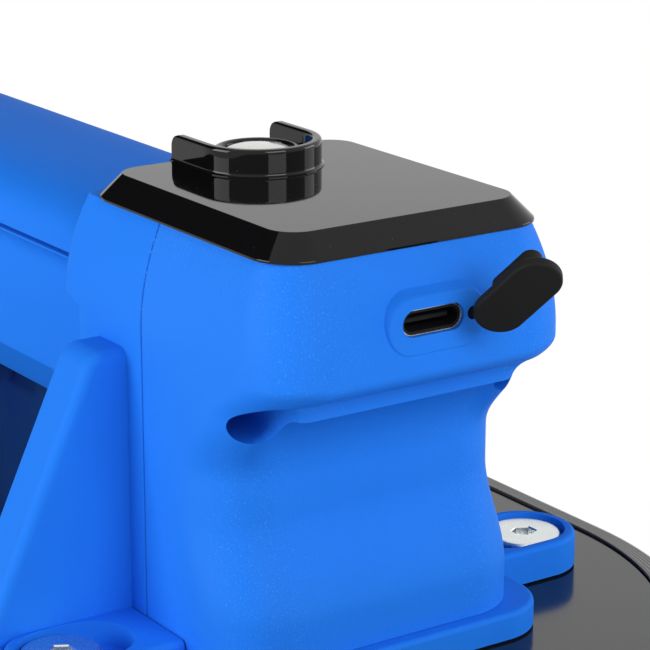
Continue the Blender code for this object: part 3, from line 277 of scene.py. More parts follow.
def plated_steel():
    """Zinc plated steel, clouded and finely pitted."""
    finish = Finish("plated_steel", metallic=1.0)
    pits = finish.noise(0.18, 3)
    cloud = finish.noise(2.5, 2)
    finish.colour(cloud, (0.62, 0.66, 0.66), (0.74, 0.77, 0.77))
    finish.set("Roughness", 0.2 + 0.16 * pits)
    finish.relief(pits, 0.006)
    return finish.material


def warm_brass():
    finish = Finish("warm_brass", metallic=1.0)
    cloud = finish.noise(1.2, 3)
    finish.colour(cloud, (0.6, 0.4, 0.14), (0.78, 0.56, 0.24))
    finish.set("Roughness", 0.2 + 0.2 * cloud)
    finish.relief(finish.noise(0.15, 2), 0.003)
    return finish.material


def skirt_rubber():
    """Grey-black rubber with a bloom of dust and streaks along the moulding."""
    finish = Finish("skirt_rubber")
    streak = finish.noise(0.6, 3, 0.6, finish.stretched((0.12, 0.12, 1)))
    bloom = finish.noise(7, 3)
    finish.colour(streak * 0.5 + bloom * 0.5, (0.015, 0.015, 0.015), (0.05, 0.049, 0.047))
    finish.set("Roughness", 0.14 + 0.14 * bloom)
    finish.relief(streak, 0.01)
    return finish.material


def deck_black():
    """Sheet of the base: smooth black with brushed streaks in its shine."""
    finish = Finish("deck_black")
    streak = finish.noise(0.9, 3, 0.6, finish.stretched((0.06, 1, 1), (0, 0, 0.35)))
    cloud = finish.noise(12, 2)
    finish.colour(streak * 0.6 + cloud * 0.4, (0.004, 0.004, 0.0045), (0.016, 0.016, 0.017))
    finish.set("Roughness", 0.09 + 0.1 * streak)
    finish.relief(streak, 0.005)
    return finish.material


def seal_foam():
    """Black closed-cell foam: round cells of mixed size."""
    finish = Finish("seal_foam", roughness=0.9, Specular_IOR_Level=0.2)
    large, small = finish.cells(1.1), finish.cells(0.5)
    finish.colour(large, (0.012, 0.012, 0.013), (0.05, 0.05, 0.052))
    finish.relief(large * 0.7 + small * 0.5, 0.25)
    return finish.material


def circuit_green():
    """Solder mask over tracks, with bare pads."""
    finish = Finish("circuit_green", Coat_Weight=0.3)
    track = finish.cells(1.6, "DISTANCE_TO_EDGE").step(0.08, 0.12)
    pad = 1 - finish.cells(2.6).step(0.12, 0.16)
    mask = finish.mix(track, (0.02, 0.2, 0.07, 1), (0.008, 0.1, 0.04, 1))
    finish.set("Base Color", finish.mix(pad, mask, (0.75, 0.6, 0.25, 1)))
    finish.set("Metallic", pad)
    finish.set("Roughness", 0.32 + 0.1 * finish.noise(0.5))
    finish.relief(pad - track, 0.02)
    return finish.material


def cell_wrap():
    """Shrink sleeve of the battery cell, drawn tight with faint wrinkles."""
    finish = Finish("cell_wrap", Coat_Weight=0.4)
    wrinkle = finish.noise(1.5, 3, 0.6, finish.stretched((0.2, 1, 1)))
    finish.colour(wrinkle, (0.03, 0.22, 0.1), (0.05, 0.32, 0.14))
    finish.set("Roughness", 0.25 + 0.15 * wrinkle)
    finish.relief(wrinkle, 0.03)
    return finish.material


FINISHES = {
    "spark": spark_blue(),
    "blue": moulded_blue(),
    "gloss": gloss_black(),
    "inner": satin_black("inner_black", (0.006, 0.006, 0.0065), 0.5, 0.3, 0.012),
    "soft": satin_black("soft_black", (0.008, 0.008, 0.0076), 0.62, 0.22, 0.02),
    "deck": deck_black(),
    "pearl": pearl_white(),
    "steel": plated_steel(),
    "brass": warm_brass(),
    "rubber": skirt_rubber(),
    "foam": seal_foam(),
    "board": circuit_green(),
    "cell": cell_wrap(),
}


def cleaned(bm):
    """A mesh in metres from a shape in millimetres, its points merged and its faces turned outwards."""
    bmesh.ops.remove_doubles(bm, verts=bm.verts, dist=1e-4)
    bmesh.ops.recalc_face_normals(bm, faces=bm.faces)
    bmesh.ops.scale(bm, verts=bm.verts, vec=(MM, MM, MM))
    mesh = bpy.data.meshes.new("shape")
    bm.to_mesh(mesh)
    bm.free()
    return mesh


def placed(name, mesh):
    obj = bpy.data.objects.new(name, mesh)
    bpy.context.scene.collection.objects.link(obj)
    return obj


def carved(body, add=(), cut=()):
    """The body with shapes added and then cut away, as a mesh in metres."""
    host = placed("host", cleaned(body))
    tools = []
    for operation, shapes in (("UNION", add), ("DIFFERENCE", cut)):
        for shape in shapes:
            tools.append(placed("tool", cleaned(shape)))
            change = host.modifiers.new("change", "BOOLEAN")
            change.operation = operation
            change.object = tools[-1]
    graph = bpy.context.evaluated_depsgraph_get()
    mesh = bpy.data.meshes.new_from_object(host.evaluated_get(graph))
    for obj in (host, *tools):
        bpy.data.objects.remove(obj)
    return mesh


def piece(name, shape, finish, body="lifter", stands_for=(), angle=35):
    """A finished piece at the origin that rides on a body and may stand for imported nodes."""
    mesh = shape if isinstance(shape, bpy.types.Mesh) else cleaned(shape)
    mesh.name = name
    mesh.shade_smooth()
    mesh.set_sharp_from_angle(angle=math.radians(angle))
    mesh.materials.clear()
    mesh.materials.append(FINISHES[finish])
    obj = placed(name, mesh)
    even = obj.modifiers.new("even shading", "WEIGHTED_NORMAL")
    even.keep_sharp = True
    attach(obj, body)
    if stands_for:
        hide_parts(*stands_for)
    return obj


def loft(loops, close=False):
    bm = bmesh.new()
    rings = [[bm.verts.new(point) for point in loop] for loop in loops]
    count = len(rings[0])
    pairs = list(zip(rings, rings[1:] + rings[:1])) if close else list(zip(rings, rings[1:]))
    for low, high in pairs:
        for i in range(count):
            j = (i + 1) % count
            bm.faces.new((low[i], low[j], high[j], high[i]))
    if not close:
        bm.faces.new(reversed(rings[0]))
        bm.faces.new(rings[-1])
    return bm


def smooth(share):
    """0 to 1 with a soft start and end."""
    share = min(1.0, max(0.0, share))
    return share * share * (3 - 2 * share)


def sweep(start, end, steps):
    """Angles from start to end, given in degrees."""
    return [math.radians(start + (end - start) * i / steps) for i in range(steps + 1)]


def obround(length, width, steps=20):
    half, radius = (length - width) / 2, width / 2
    return [(centre + radius * math.cos(a), radius * math.sin(a))
            for centre, start in ((half, -90), (-half, 90)) for a in sweep(start, start + 180, steps)]


def circle(radius, steps=32):
    return [(radius * math.cos(a), radius * math.sin(a)) for a in sweep(0, 360, steps)[:-1]]


def round_rect(low, high, radii, steps=14):
    """Rounded rectangle from its corners; radii go round from the low corner."""
    corners = ((low[0], low[1], 1, 1), (high[0], low[1], -1, 1), (high[0], high[1], -1, -1),
               (low[0], high[1], 1, -1))
    points = []
    for k, ((x, y, to_x, to_y), r) in enumerate(zip(corners, radii)):
        points += [(x + to_x * r + r * math.cos(a), y + to_y * r + r * math.sin(a))
                   for a in sweep(180 + 90 * k, 270 + 90 * k, steps)]
    return points


def upright(outline, low, high, centre=(0, 0)):
    return loft([[(x + centre[0], y + centre[1], z) for x, y in outline] for z in (low, high)])


def along_x(outline, low, high, centre=(0, 0)):
    return loft([[(x, y + centre[0], z + centre[1]) for y, z in outline] for x in (low, high)])


def turned(profile, centre, steps=72):
    """A solid of revolution about Z; the profile runs from axis to axis as (radius, height)."""
    bm = bmesh.new()
    rings = []
    for radius, z in profile:
        points = circle(radius, steps) if radius > 1e-9 else [(0, 0)]
        rings.append([bm.verts.new((x + centre[0], y + centre[1], z)) for x, y in points])
    for low, high in zip(rings, rings[1:]):
        for i in range(steps):
            j = (i + 1) % steps
            face = [low[i % len(low)], low[j % len(low)], high[j % len(high)], high[i % len(high)]]
            bm.faces.new(list(dict.fromkeys(face)))
    return bm


def softened(outline, low, high, radius):
    """An upright block with a rounded upper edge; outline(inset) gives its section."""
    rows = [(low, 0)]
    rows += [(high - radius * (1 - math.sin(a)), radius * (1 - math.cos(a))) for a in sweep(0, 90, 5)]
    return loft([[(x, y, z) for x, y in outline(inset)] for z, inset in rows])


def top_rows(post, x, above):
    """(height, x, inset) of the long curve in to the top of a post, from its face at x above a height."""
    start, end = max(post.top - CURVE_DROP, above), post.top - 0.3
    rows = []
    for share in (k / 20 for k in range(1, 21)):
        z = start + (end - start) * share
        rows.append((z, CURVE_IN * ((z - post.top + CURVE_DROP) / CURVE_SPAN) ** 2))
    last = rows[-1][1]
    rows += [(post.top - 0.1, last + 0.12), (post.top, last + 0.4)]
    return [(z, x + (inset if x < post.seam else -inset), CURVE_SIDE_SHARE * inset) for z, inset in rows]


def swept(rise):
    """Share of the way from neck to head of a cover's corners at a height, where no strip shows."""
    early, late = smooth((rise - 45) / 12.3), smooth((rise - 54.7) / 5.9)
    return 0.58 * early + 0.42 * late


def post_loft(post, rows, corner, plain_corners=False):
    """Half a post from its seam to the face x of each row; plain corners sweep past the strip."""
    loops = []
    for z, x, inset in rows:
        seam = post.seam + math.copysign(SEAM_GAP, x - post.seam)
        radii = [SEAM_CORNER, corner - inset, corner - inset, SEAM_CORNER]
        if x < seam:
            radii = [corner - inset, SEAM_CORNER, SEAM_CORNER, corner - inset]
        low, high = sorted((seam, x))
        outline = round_rect((low, inset - POST_HALF), (high, POST_HALF - inset), radii, 26)
        if plain_corners and NECK_TOP < z < HEAD_LOW:
            move = post.neck + (post.face - post.neck) * swept(z) - x
            outline = [(px + move * smooth((abs(py) - STRIP_HALF) / STRIP_FADE) * (abs(px - seam) > 1), py)
                       for px, py in outline]
        loops.append([(px, py, z) for px, py in outline])
    return loft(loops)


def cover_rows(post):
    """(height, x, inset) of an end cover's outer face: foot, flare, neck, hollow, strip and head."""
    side, neck = post.side, post.neck
    strip = post.face - side * STRIP_DEPTH
    rows = [(FLANGE_TOP + 0.1, neck + side * post.spread, 0)]
    for share in (k / 16 for k in range(17)):
        rows.append((FLARE_LOW + (FLARE_TOP - FLARE_LOW) * share,
                     neck + side * post.spread * (1 - smooth(share)), 0))
    for a in sweep(0, 90, 24):
        rows.append((STRIP_LOW - (STRIP_LOW - NECK_TOP) * (1 - math.sin(a)),
                     neck + (strip - neck) * (1 - math.cos(a)), 0))
    for share in (k / 6 for k in range(1, 6)):
        rows.append((STRIP_LOW + (STRIP_TOP - STRIP_LOW) * share, strip + side * STRIP_LEAN * share, 0))
    for a in sweep(0, 90, 16):
        rows.append((STRIP_TOP + (HEAD_LOW - STRIP_TOP) * (1 - math.cos(a)),
                     strip + side * (STRIP_LEAN + (STRIP_DEPTH - STRIP_LEAN) * math.sin(a)), 0))
    return rows + top_rows(post, post.face, HEAD_LOW)


def cover_cavity(post):
    """The hollow of a cover, narrower where its screws pass."""
    side, corner, sharp = post.side, 6.5, 0.2
    neck, head = post.neck - side * WALL, post.face - side * WALL
    radii = (sharp, corner, corner, sharp) if side > 0 else (corner, sharp, sharp, corner)
    loops = []
    for z, x, half in ((FLANGE_TOP - 4, neck, HOLLOW_HALF), (BOSS_LOW - 1, neck, HOLLOW_HALF),
                       (BOSS_LOW, neck, BOSS_HALF), (BOSS_HIGH - 1, neck, BOSS_HALF),
                       (BOSS_HIGH, head, HOLLOW_HALF), (post.top - 2, head - side * 2.4, HOLLOW_TOP_HALF)):
        low, high = sorted((post.seam - side, x))
        loops.append([(px, py, z) for px, py in round_rect((low, -half), (high, half), radii, 6)])
    return loft(loops)


def panel_window():
    outline = round_rect(WINDOW_LOW, WINDOW_HIGH, (WINDOW_CORNER,) * 4, 6)
    return upright(outline, FRONT.top - 3, FRONT.top + 1)


def screw_ways(post):
    """The stepped bores of the two cover screws."""
    side = post.side
    floor = post.seam + side * BORE_FLOOR
    ways = []
    for hand in (-1, 1):
        wide = sorted((floor, post.face + side))
        ways.append(along_x(circle(BORE_RADIUS, 56), *wide, (hand * BORE_Y, BORE_Z)))
        narrow = sorted((post.seam - side * SCREW_REACH, floor + side))
        ways.append(along_x(circle(SCREW_WAY, 24), *narrow, (hand * SCREW_Y, SCREW_Z)))
    return ways


def obround_loft(rows, length, width, centre):
    """Obrounds along X; each row gives x and how far its outline is drawn in."""
    loops = []
    for x, inset in rows:
        outline = obround(length - 2 * inset, width - 2 * inset, 24)
        loops.append([(x, y + centre[0], z + centre[1]) for y, z in outline])
    return loft(loops)


def port_pad():
    """Low flat pad round the charging port, whose sides slope softly down to the cover."""
    foot = FRONT.face - PAD_FOOT
    rows = [(foot - 0.4, -PAD_SLOPE)]
    rows += [(foot + (PAD_FACE - foot) * smooth(k / 16), -PAD_SLOPE * (1 - k / 16)) for k in range(17)]
    return obround_loft(rows, PAD_LENGTH, PAD_HEIGHT, PAD)


def port_cutters():
    """The charging port's opening and the strap's hole."""
    through = (FRONT.face - WALL - 1, PAD_FACE + 0.4)
    return [along_x(obround(*PORT_OPENING, 24), *through, PORT),
            along_x(circle(STRAP_HOLE, 20), *through, (PORT[0] + STRAP_OFFSET, PORT[1]))]


def end_covers():
    """The front cover with the charging port and the rear cover with its exhaust slots."""
    body = post_loft(FRONT, cover_rows(FRONT), POST_CORNER, True)
    cuts = [cover_cavity(FRONT), panel_window(), *screw_ways(FRONT), *port_cutters()]
    piece("front_cover_shell", carved(body, [port_pad()], cuts), "spark", stands_for=("front_cover",))
    body = post_loft(REAR, cover_rows(REAR), POST_CORNER, True)
    cuts = [cover_cavity(REAR), *screw_ways(REAR)]
    for k in range(EXHAUST_ROWS):
        cuts.append(along_x(obround(EXHAUST_LENGTH, EXHAUST_WIDTH), REAR.face - 1, REAR.face + WALL + 1,
                            (0, EXHAUST_LOW + EXHAUST_PITCH * k)))
    piece("rear_cover_shell", carved(body, cut=cuts), "spark", stands_for=("rear_cover",))


def frame_block(post):
    """The frame's half of a post, with the S step of its head over the handle."""
    rows = [(FLANGE_BOTTOM + 1, post.inside, 0)]
    for share in (k / 12 for k in range(13)):
        rows.append((STEP_LOW + (STEP_TOP - STEP_LOW) * share,
                     post.inside + (post.head - post.inside) * smooth(share), 0))
    return post_loft(post, rows + top_rows(post, post.head, STEP_TOP), STEP_CORNER)


def frame_hollow(post):
    """The hollow of the frame's half of a post, narrower where the cover screws pass."""
    low, high = sorted((post.inside + post.side * WALL, post.seam + post.side))
    loops = []
    for z, half in ((FLANGE_TOP, HOLLOW_HALF), (BOSS_LOW - 1, HOLLOW_HALF), (BOSS_LOW, BOSS_HALF),
                    (BOSS_HIGH - 1, BOSS_HALF), (BOSS_HIGH, HOLLOW_HALF), (post.top - 2, HOLLOW_TOP_HALF)):
        loops.append([(x, y, z) for x, y in round_rect((low, -half), (high, half), (1,) * 4, 3)])
    return loft(loops)


def foot(post):
    """Flange of a post and its two lugs, each with a rounded upper edge."""
    reach, overhang, corner, root = 1.5, 3, 8, POST_HALF + 0.2
    low, high = sorted((post.inside - post.side * reach, post.foot))
    width = POST_HALF + overhang

    def flange(inset):
        return round_rect((low + inset, inset - width), (high - inset, width - inset), (corner - inset,) * 4)

    shapes = [softened(flange, FLANGE_BOTTOM, FLANGE_TOP, 0.7)]
    for hand in (-1, 1):
        def tab(inset, hand=hand):
            radius = LUG_RADIUS - inset
            ends = [(radius * math.cos(a), LUG_Y + radius * math.sin(a)) for a in sweep(0, 180, 32)]
            return [(post.lug + x, hand * y) for x, y in [(radius, root)] + ends + [(-radius, root)]]
        shapes.append(softened(tab, FLANGE_BOTTOM + 0.01, LUG_TOP, 0.8))
    return shapes


def lug_pocket(post, hand):
    """Seat of a lug screw, open towards the post."""
    far, near = LUG_Y + LUG_POCKET, POST_HALF + 4
    middle = (far + near) / 2
    outline = obround(far - near, 2 * LUG_POCKET, 28)
    return upright([(post.lug + y, hand * (middle + x)) for x, y in outline], LUG_SEAT, LUG_TOP + 1)


def gusset(post, hand):
    """Sloping brace on one side of a post: a round nose and round edges on both faces."""
    degrees, top, nose, edge, thick, behind_seam = 25, 58.2, 3.2, 1.5, 8, 3.7
    slope = math.radians(degrees)
    lean = math.tan(slope)
    low, root, reach = FLANGE_BOTTOM + 1, POST_HALF - 1, POST_HALF + 32.1
    middle_z = top - nose
    middle_y = reach - middle_z * lean - nose / math.cos(slope)
    outer = post.seam - post.side * behind_seam

    def outline(inset):
        points = [(root, low), (reach - low * lean - inset / math.cos(slope), low)]
        points += [(middle_y + (nose - inset) * math.cos(a), middle_z + (nose - inset) * math.sin(a))
                   for a in sweep(degrees, 90, 14)]
        return points + [(root, top - inset)]

    rows = [(edge * (1 - math.cos(a)), edge * (1 - math.sin(a))) for a in sweep(0, 90, 8)]
    rows += [(thick - x, inset) for x, inset in reversed(rows)]
    return loft([[(outer - post.side * x, hand * y, z) for y, z in outline(inset)] for x, inset in rows])


def grip_outline():
    """Lower half of the handle: drawn in below a soft edge, flared under the lid, grooved at the split."""
    flat, turn, edge, flare = 8.6, 2.6, 0.8, 4.5
    low, edge_z, flare_z, groove_z = HANDLE_LOW - 0.2, HANDLE_LOW + 7.4, 59.8, 63.5
    side, lip, groove = HANDLE_HALF, HANDLE_HALF + 1.42, HANDLE_HALF - 0.6
    right = [(flat, low)]
    right += [(flat + turn * math.sin(a), low + turn * (1 - math.cos(a))) for a in sweep(12, 62, 8)]
    right += [(side - edge * (1 - math.cos(a)), edge_z - edge * math.sin(a)) for a in sweep(30, 0, 4)]
    right += [(side + flare * (1 - math.cos(a)), flare_z + flare * math.sin(a)) for a in sweep(0, 47, 10)]
    right += [(lip, groove_z - 0.2), (lip - 0.22, groove_z - 0.05)]
    right += [(groove, groove_z), (groove, HANDLE_SPLIT)]
    return right + [(-y, z) for y, z in reversed(right)]


def body_frame():
    """One moulding: the inner halves of both posts, the handle's lower half, the gussets and the feet."""
    grip = along_x(grip_outline(), REAR.inside - 2, FRONT.inside + 2)
    parts = [frame_block(FRONT), frame_block(REAR), *foot(FRONT), *foot(REAR)]
    parts += [gusset(FRONT, -1), gusset(REAR, 1)]
    half, corner = 11.2, 4.5
    channel = round_rect((-half, HANDLE_LOW + WALL), (half, HANDLE_SPLIT + 1), (corner, corner, 0.3, 0.3), 6)
    cuts = [along_x(channel, REAR.inside - 3.5, FRONT.inside + 3.5), panel_window()]
    for post in (FRONT, REAR):
        cuts.append(frame_hollow(post))
        ends = sorted((post.seam + post.side, post.seam - post.side * SCREW_REACH))
        for hand in (-1, 1):
            lug = (post.lug, hand * LUG_Y)
            cuts.append(lug_pocket(post, hand))
            cuts.append(upright(circle(LUG_WAY, 24), FLANGE_BOTTOM - 1, LUG_SEAT + 1, lug))
            cuts.append(along_x(circle(SCREW_WAY, 24), *ends, (hand * SCREW_Y, SCREW_Z)))
    for x, radius in ((VENT_X, VENT_WAY), (PUMP_X, PUMP_WAY)):
        cuts.append(upright(circle(radius), FLANGE_BOTTOM - 1, FLANGE_TOP + 1, (x, 0)))
    piece("frame_moulding", carved(grip, parts, cuts), "blue", stands_for=("body_frame",))


def arch(half, low, high, steps=64):
    points = []
    for a in sweep(0, 180, steps):
        across, up = math.cos(a), max(0.0, math.sin(a))
        points.append((math.copysign(abs(across) ** 0.75, across) * half, low + up ** 0.75 * (high - low)))
    return points


def handle_lid():
    """The arched upper half of the handle, between the posts."""
    half, low = HANDLE_HALF + 1.5, HANDLE_SPLIT + 0.05
    outer = along_x(arch(half, low, HANDLE_TOP), REAR.inside + 0.1, FRONT.head - 0.1)
    inner = along_x(arch(half - 4.6, low - 1, HANDLE_TOP - WALL), REAR.inside - 1, FRONT.head + 1)
    piece("handle_lid", carved(outer, cut=[inner]), "blue", stands_for=("handle_cover",))


def panel():
    """Bevelled gloss panel with softened edges on the front post's top, and the hole for the button."""
    lip, edge = FRONT.top + 0.3, 0.2
    tilt = 90 - math.degrees(math.atan2(PANEL_TOP - lip, PANEL_CHAMFER))
    rows = [(FRONT.top - 0.1, 0), (lip - edge, 0)]
    rows += [(lip - edge + edge * math.sin(a), edge * (1 - math.cos(a))) for a in sweep(15, tilt, 3)]
    rows += [(PANEL_TOP - edge * (1 - math.sin(a)), PANEL_CHAMFER + 0.12 - edge * math.cos(a))
             for a in sweep(tilt, 90, 5)]
    loops = []
    for z, inset in rows:
        radius = PANEL_CORNER - 0.8 * inset
        outline = round_rect((PANEL_LOW[0] + inset, PANEL_LOW[1] + inset),
                             (PANEL_HIGH[0] - inset, PANEL_HIGH[1] - inset), (radius,) * 4)
        loops.append([(x, y, z) for x, y in outline])
    hole = upright(circle(BUTTON_RADIUS + 0.25, 72), FRONT.top - 2, PANEL_TOP + 1, BUTTON)
    piece("gloss_panel", carved(loft(loops), cut=[hole]), "gloss", stands_for=("display_panel",), angle=25)


def guard():
    """U shaped rail round the button, on the panel: rounded leg ends and upper edges and a fine foot."""
    low = PANEL_TOP - 0.05

    def loop(z, out, lean, back):
        def line(radius):
            start = BUTTON[0] - GUARD_LEG + back
            bend = [(BUTTON[0] + radius * math.cos(a), radius * math.sin(a), z) for a in sweep(-90, 90, 40)]
            return [(start, -radius, z)] + bend + [(start, radius, z)]
        return line(GUARD_RADIUS + out - lean) + line(GUARD_RADIUS - GUARD_WALL + lean)[::-1]

    foot, end, soft = 0.35, 1.7, 0.42
    loops = [loop(low, foot, 0, 0), loop(low + 0.15, foot, 0, 0)]
    loops += [loop(low + 0.5 - foot * math.sin(a), foot * (1 - math.cos(a)), 0, 0) for a in sweep(60, 0, 3)]
    for share in (k / 14 for k in range(15)):
        z = low + 0.6 + (GUARD_TOP - low - 0.6) * (1 - (1 - share) ** 1.7)
        over = max(0.0, z - (GUARD_TOP - end))
        near = max(0.0, z - (GUARD_TOP - soft))
        back = end - math.sqrt(max(0.0, end * end - over * over))
        lean = soft - math.sqrt(max(0.0, soft * soft - near * near))
        loops.append(loop(z, 0, lean, back))
    piece("guard_rail", loft(loops), "gloss", stands_for=("button_guard",), angle=50)


def button():
    """Black cap whose raised rim stands round a pale domed face."""
    low, step, flange = 73.3, 0.9, BUTTON_RADIUS + 1
    rim_in, rim_top = BUTTON_FACE + 0.2, BUTTON_TOP + 0.75
    half = (BUTTON_RADIUS - rim_in) / 2
    profile = [(0, low), (flange, low), (flange, low + step), (BUTTON_RADIUS, low + step)]
    profile += [(BUTTON_RADIUS - half + half * math.cos(a), rim_top - 0.5 + 0.5 * math.sin(a))
                for a in sweep(0, 180, 14)]
    profile += [(rim_in, BUTTON_TOP), (0, BUTTON_TOP)]
    piece("button_cap", turned(profile, BUTTON), "gloss", "button", ("power_button",))
    base, rise = BUTTON_TOP + 0.1, 0.85
    dome = [(0, base), (BUTTON_FACE - 0.1, base), (BUTTON_FACE, base + 0.1)]
    dome += [(BUTTON_FACE * math.cos(a), base + 0.1 + (rise - 0.1) * math.sin(a)) for a in sweep(9, 81, 8)]
    piece("button_dome", turned(dome + [(0, base + rise)], BUTTON), "pearl", "button", ("button_face",), 50)


def plug():
    """Soft plug hanging open from its strap: a round-edged obround cap with a stub for the port."""
    turn = Matrix.Translation(PLUG_PIVOT) @ PLUG_TURN.to_matrix().to_4x4()

    def shape(length, width, stations):
        loops = []
        for x, inset in stations:
            outline = obround(length - 2 * inset, width - 2 * inset, 28)
            loops.append([turn @ Vector((x, y + PLUG_MIDDLE[0], z + PLUG_MIDDLE[1])) for y, z in outline])
        return loft(loops)

    edge, thick = 0.35, 1.4
    back = [(edge * (1 - math.cos(a)), edge * (1 - math.sin(a))) for a in sweep(0, 90, 6)]
    front = [(thick - x, inset) for x, inset in reversed(back)]
    tip, soft = -PLUG_REACH, 0.4
    stub = [(tip + soft * (1 - math.cos(a)), soft * (1 - math.sin(a))) for a in sweep(0, 90, 5)]
    stub += [(-0.5, 0), (-0.2, -0.12), (0.3, -0.3)]
    cap = carved(shape(*PLUG_CAP, back + front), [shape(*PLUG_STUB, stub)])
    piece("plug_cap", cap, "soft", "plug", ("port_plug",), 50)


def port():
    """Receptacle with a rolled lip, its dark liner and tongue, and the strap that holds the plug."""
    front, back, size = PORT_FRONT, PORT_FRONT - PORT_DEPTH, (PORT_LENGTH, PORT_HEIGHT)
    rows = [(back, 0), (front - 0.1, 0), (front, 0.06), (front, 0.12), (front - 0.1, 0.18), (back + 1, 0.18)]
    piece("port_shell", obround_loft(rows, *size, PORT), "steel", stands_for=("usb_shell",))
    rows = [(back + 1.05, 0.2), (front - 0.15, 0.2), (front - 0.15, 0.5), (back + 1.2, 0.5)]
    piece("port_liner", obround_loft(rows, *size, PORT), "inner")
    half, thick, loops = 3.3, 0.35, []
    for x, inset in ((back + 1.3, 0), (front - 1.35, 0), (front - 1.2, 0.12)):
        outline = round_rect((inset - half, inset - thick), (half - inset, thick - inset), (0.15,) * 4, 3)
        loops.append([(x, y + PORT[0], z + PORT[1]) for y, z in outline])
    piece("port_tongue", loft(loops), "inner", stands_for=("usb_tongue",))
    inside, bend = FRONT.face - WALL - 0.3, PAD_FACE + 0.5
    hole = Vector((0, PORT[0] + STRAP_OFFSET, PORT[1]))
    path = [(inside - 2, hole, STRAP_HEAD), (inside - 0.2, hole, STRAP_HEAD),
            (inside, hole, STRAP_HEAD - 0.2), (inside + 0.1, hole, STRAP_RADIUS)]
    end = PLUG_PIVOT.x - 0.6
    for share in (k / 10 for k in range(11)):
        path.append((bend + (end - bend) * share, hole.lerp(PLUG_PIVOT, smooth(share)), STRAP_RADIUS))
    loops = [[(x, middle.y + y, middle.z + z) for y, z in circle(radius, 20)] for x, middle, radius in path]
    piece("plug_tether", loft(loops), "soft", stands_for=("plug_strap",))


def base():
    """Deck plate, ribbed rubber skirt and the foam ring under it."""
    def ring(profile):
        loops = []
        for centre, start in ((BASE_STRAIGHT, -90), (-BASE_STRAIGHT, 90)):
            loops += [[(centre + w * math.cos(a), w * math.sin(a), z) for w, z in profile]
                      for a in sweep(start, start + 180, 72)]
        return loft(loops, True)

    edge, outer, soft = PLATE_EDGE + 0.1, BASE_HALF, 0.2
    rows = [(PLATE_BOTTOM, 0)]
    rows += [(PLATE_TOP - soft * (1 - math.sin(a)), soft * (1 - math.cos(a))) for a in sweep(0, 90, 5)]
    plate = loft([[(x, y, z) for x, y in obround(2 * (BASE_STRAIGHT + half), 2 * half, 72)]
                  for z, half in ((z, PLATE_EDGE - inset) for z, inset in rows)])
    holes = [(post.lug, y, LUG_WAY) for post in (FRONT, REAR) for y in (LUG_Y, -LUG_Y)]
    holes += [(PUMP_X, 0, PUMP_WAY), (VENT_X, 0, VENT_HOLE)]
    cuts = [upright(circle(radius), PLATE_BOTTOM - 1, PLATE_TOP + 1, (x, y)) for x, y, radius in holes]
    piece("deck_plate", carved(plate, cut=cuts), "deck", stands_for=("base_plate",))

    start, shoulder, drop, fall, ribs = edge + 0.7, 1.6, 1.1, 3.5, 4
    top = [(edge, PLATE_BOTTOM - 0.3), (edge, SKIRT_TOP - soft)]
    top += [(edge + soft - soft * math.cos(a), SKIRT_TOP - soft + soft * math.sin(a))
            for a in sweep(18, 90, 4)]
    run = outer - shoulder - start
    for share in (k / 32 for k in range(33)):
        wave = 0.07 * (1 - math.cos(2 * ribs * math.pi * share))
        top.append((start + run * share, SKIRT_TOP - drop * share - wave))
    side = [(outer - shoulder + shoulder * math.sin(a), SKIRT_TOP - drop - fall * (1 - math.cos(a)))
            for a in sweep(15, 90, 5)]
    groove = outer - 4
    low = [(outer, SKIRT_LIP + 1.5), (outer - 0.3, SKIRT_LIP + 0.5), (outer - 1, SKIRT_LIP),
           (groove + 0.8, SKIRT_LIP), (groove, FOAM_HEIGHT + 0.3), (FOAM_IN - 0.3, FOAM_HEIGHT + 0.3),
           (FOAM_IN - 0.3, PLATE_BOTTOM - 0.3)]
    piece("skirt_moulding", ring(top + side + low), "rubber", stands_for=("rubber_skirt",), angle=40)
    soft = 1.2
    foam = [(FOAM_IN, FOAM_HEIGHT), (FOAM_OUT, FOAM_HEIGHT), (FOAM_OUT, FOAM_HEIGHT / 2)]
    foam += [(FOAM_OUT - soft * (1 - math.cos(a)), soft * (1 - math.sin(a))) for a in sweep(0, 90, 5)]
    foam += [(FOAM_IN + soft * (1 - math.cos(a)), soft * (1 - math.sin(a))) for a in sweep(90, 0, 5)]
    foam += [(FOAM_IN, FOAM_HEIGHT / 2)]
    piece("foam_ring", ring(foam), "foam", stands_for=("foam_seal",), angle=50)


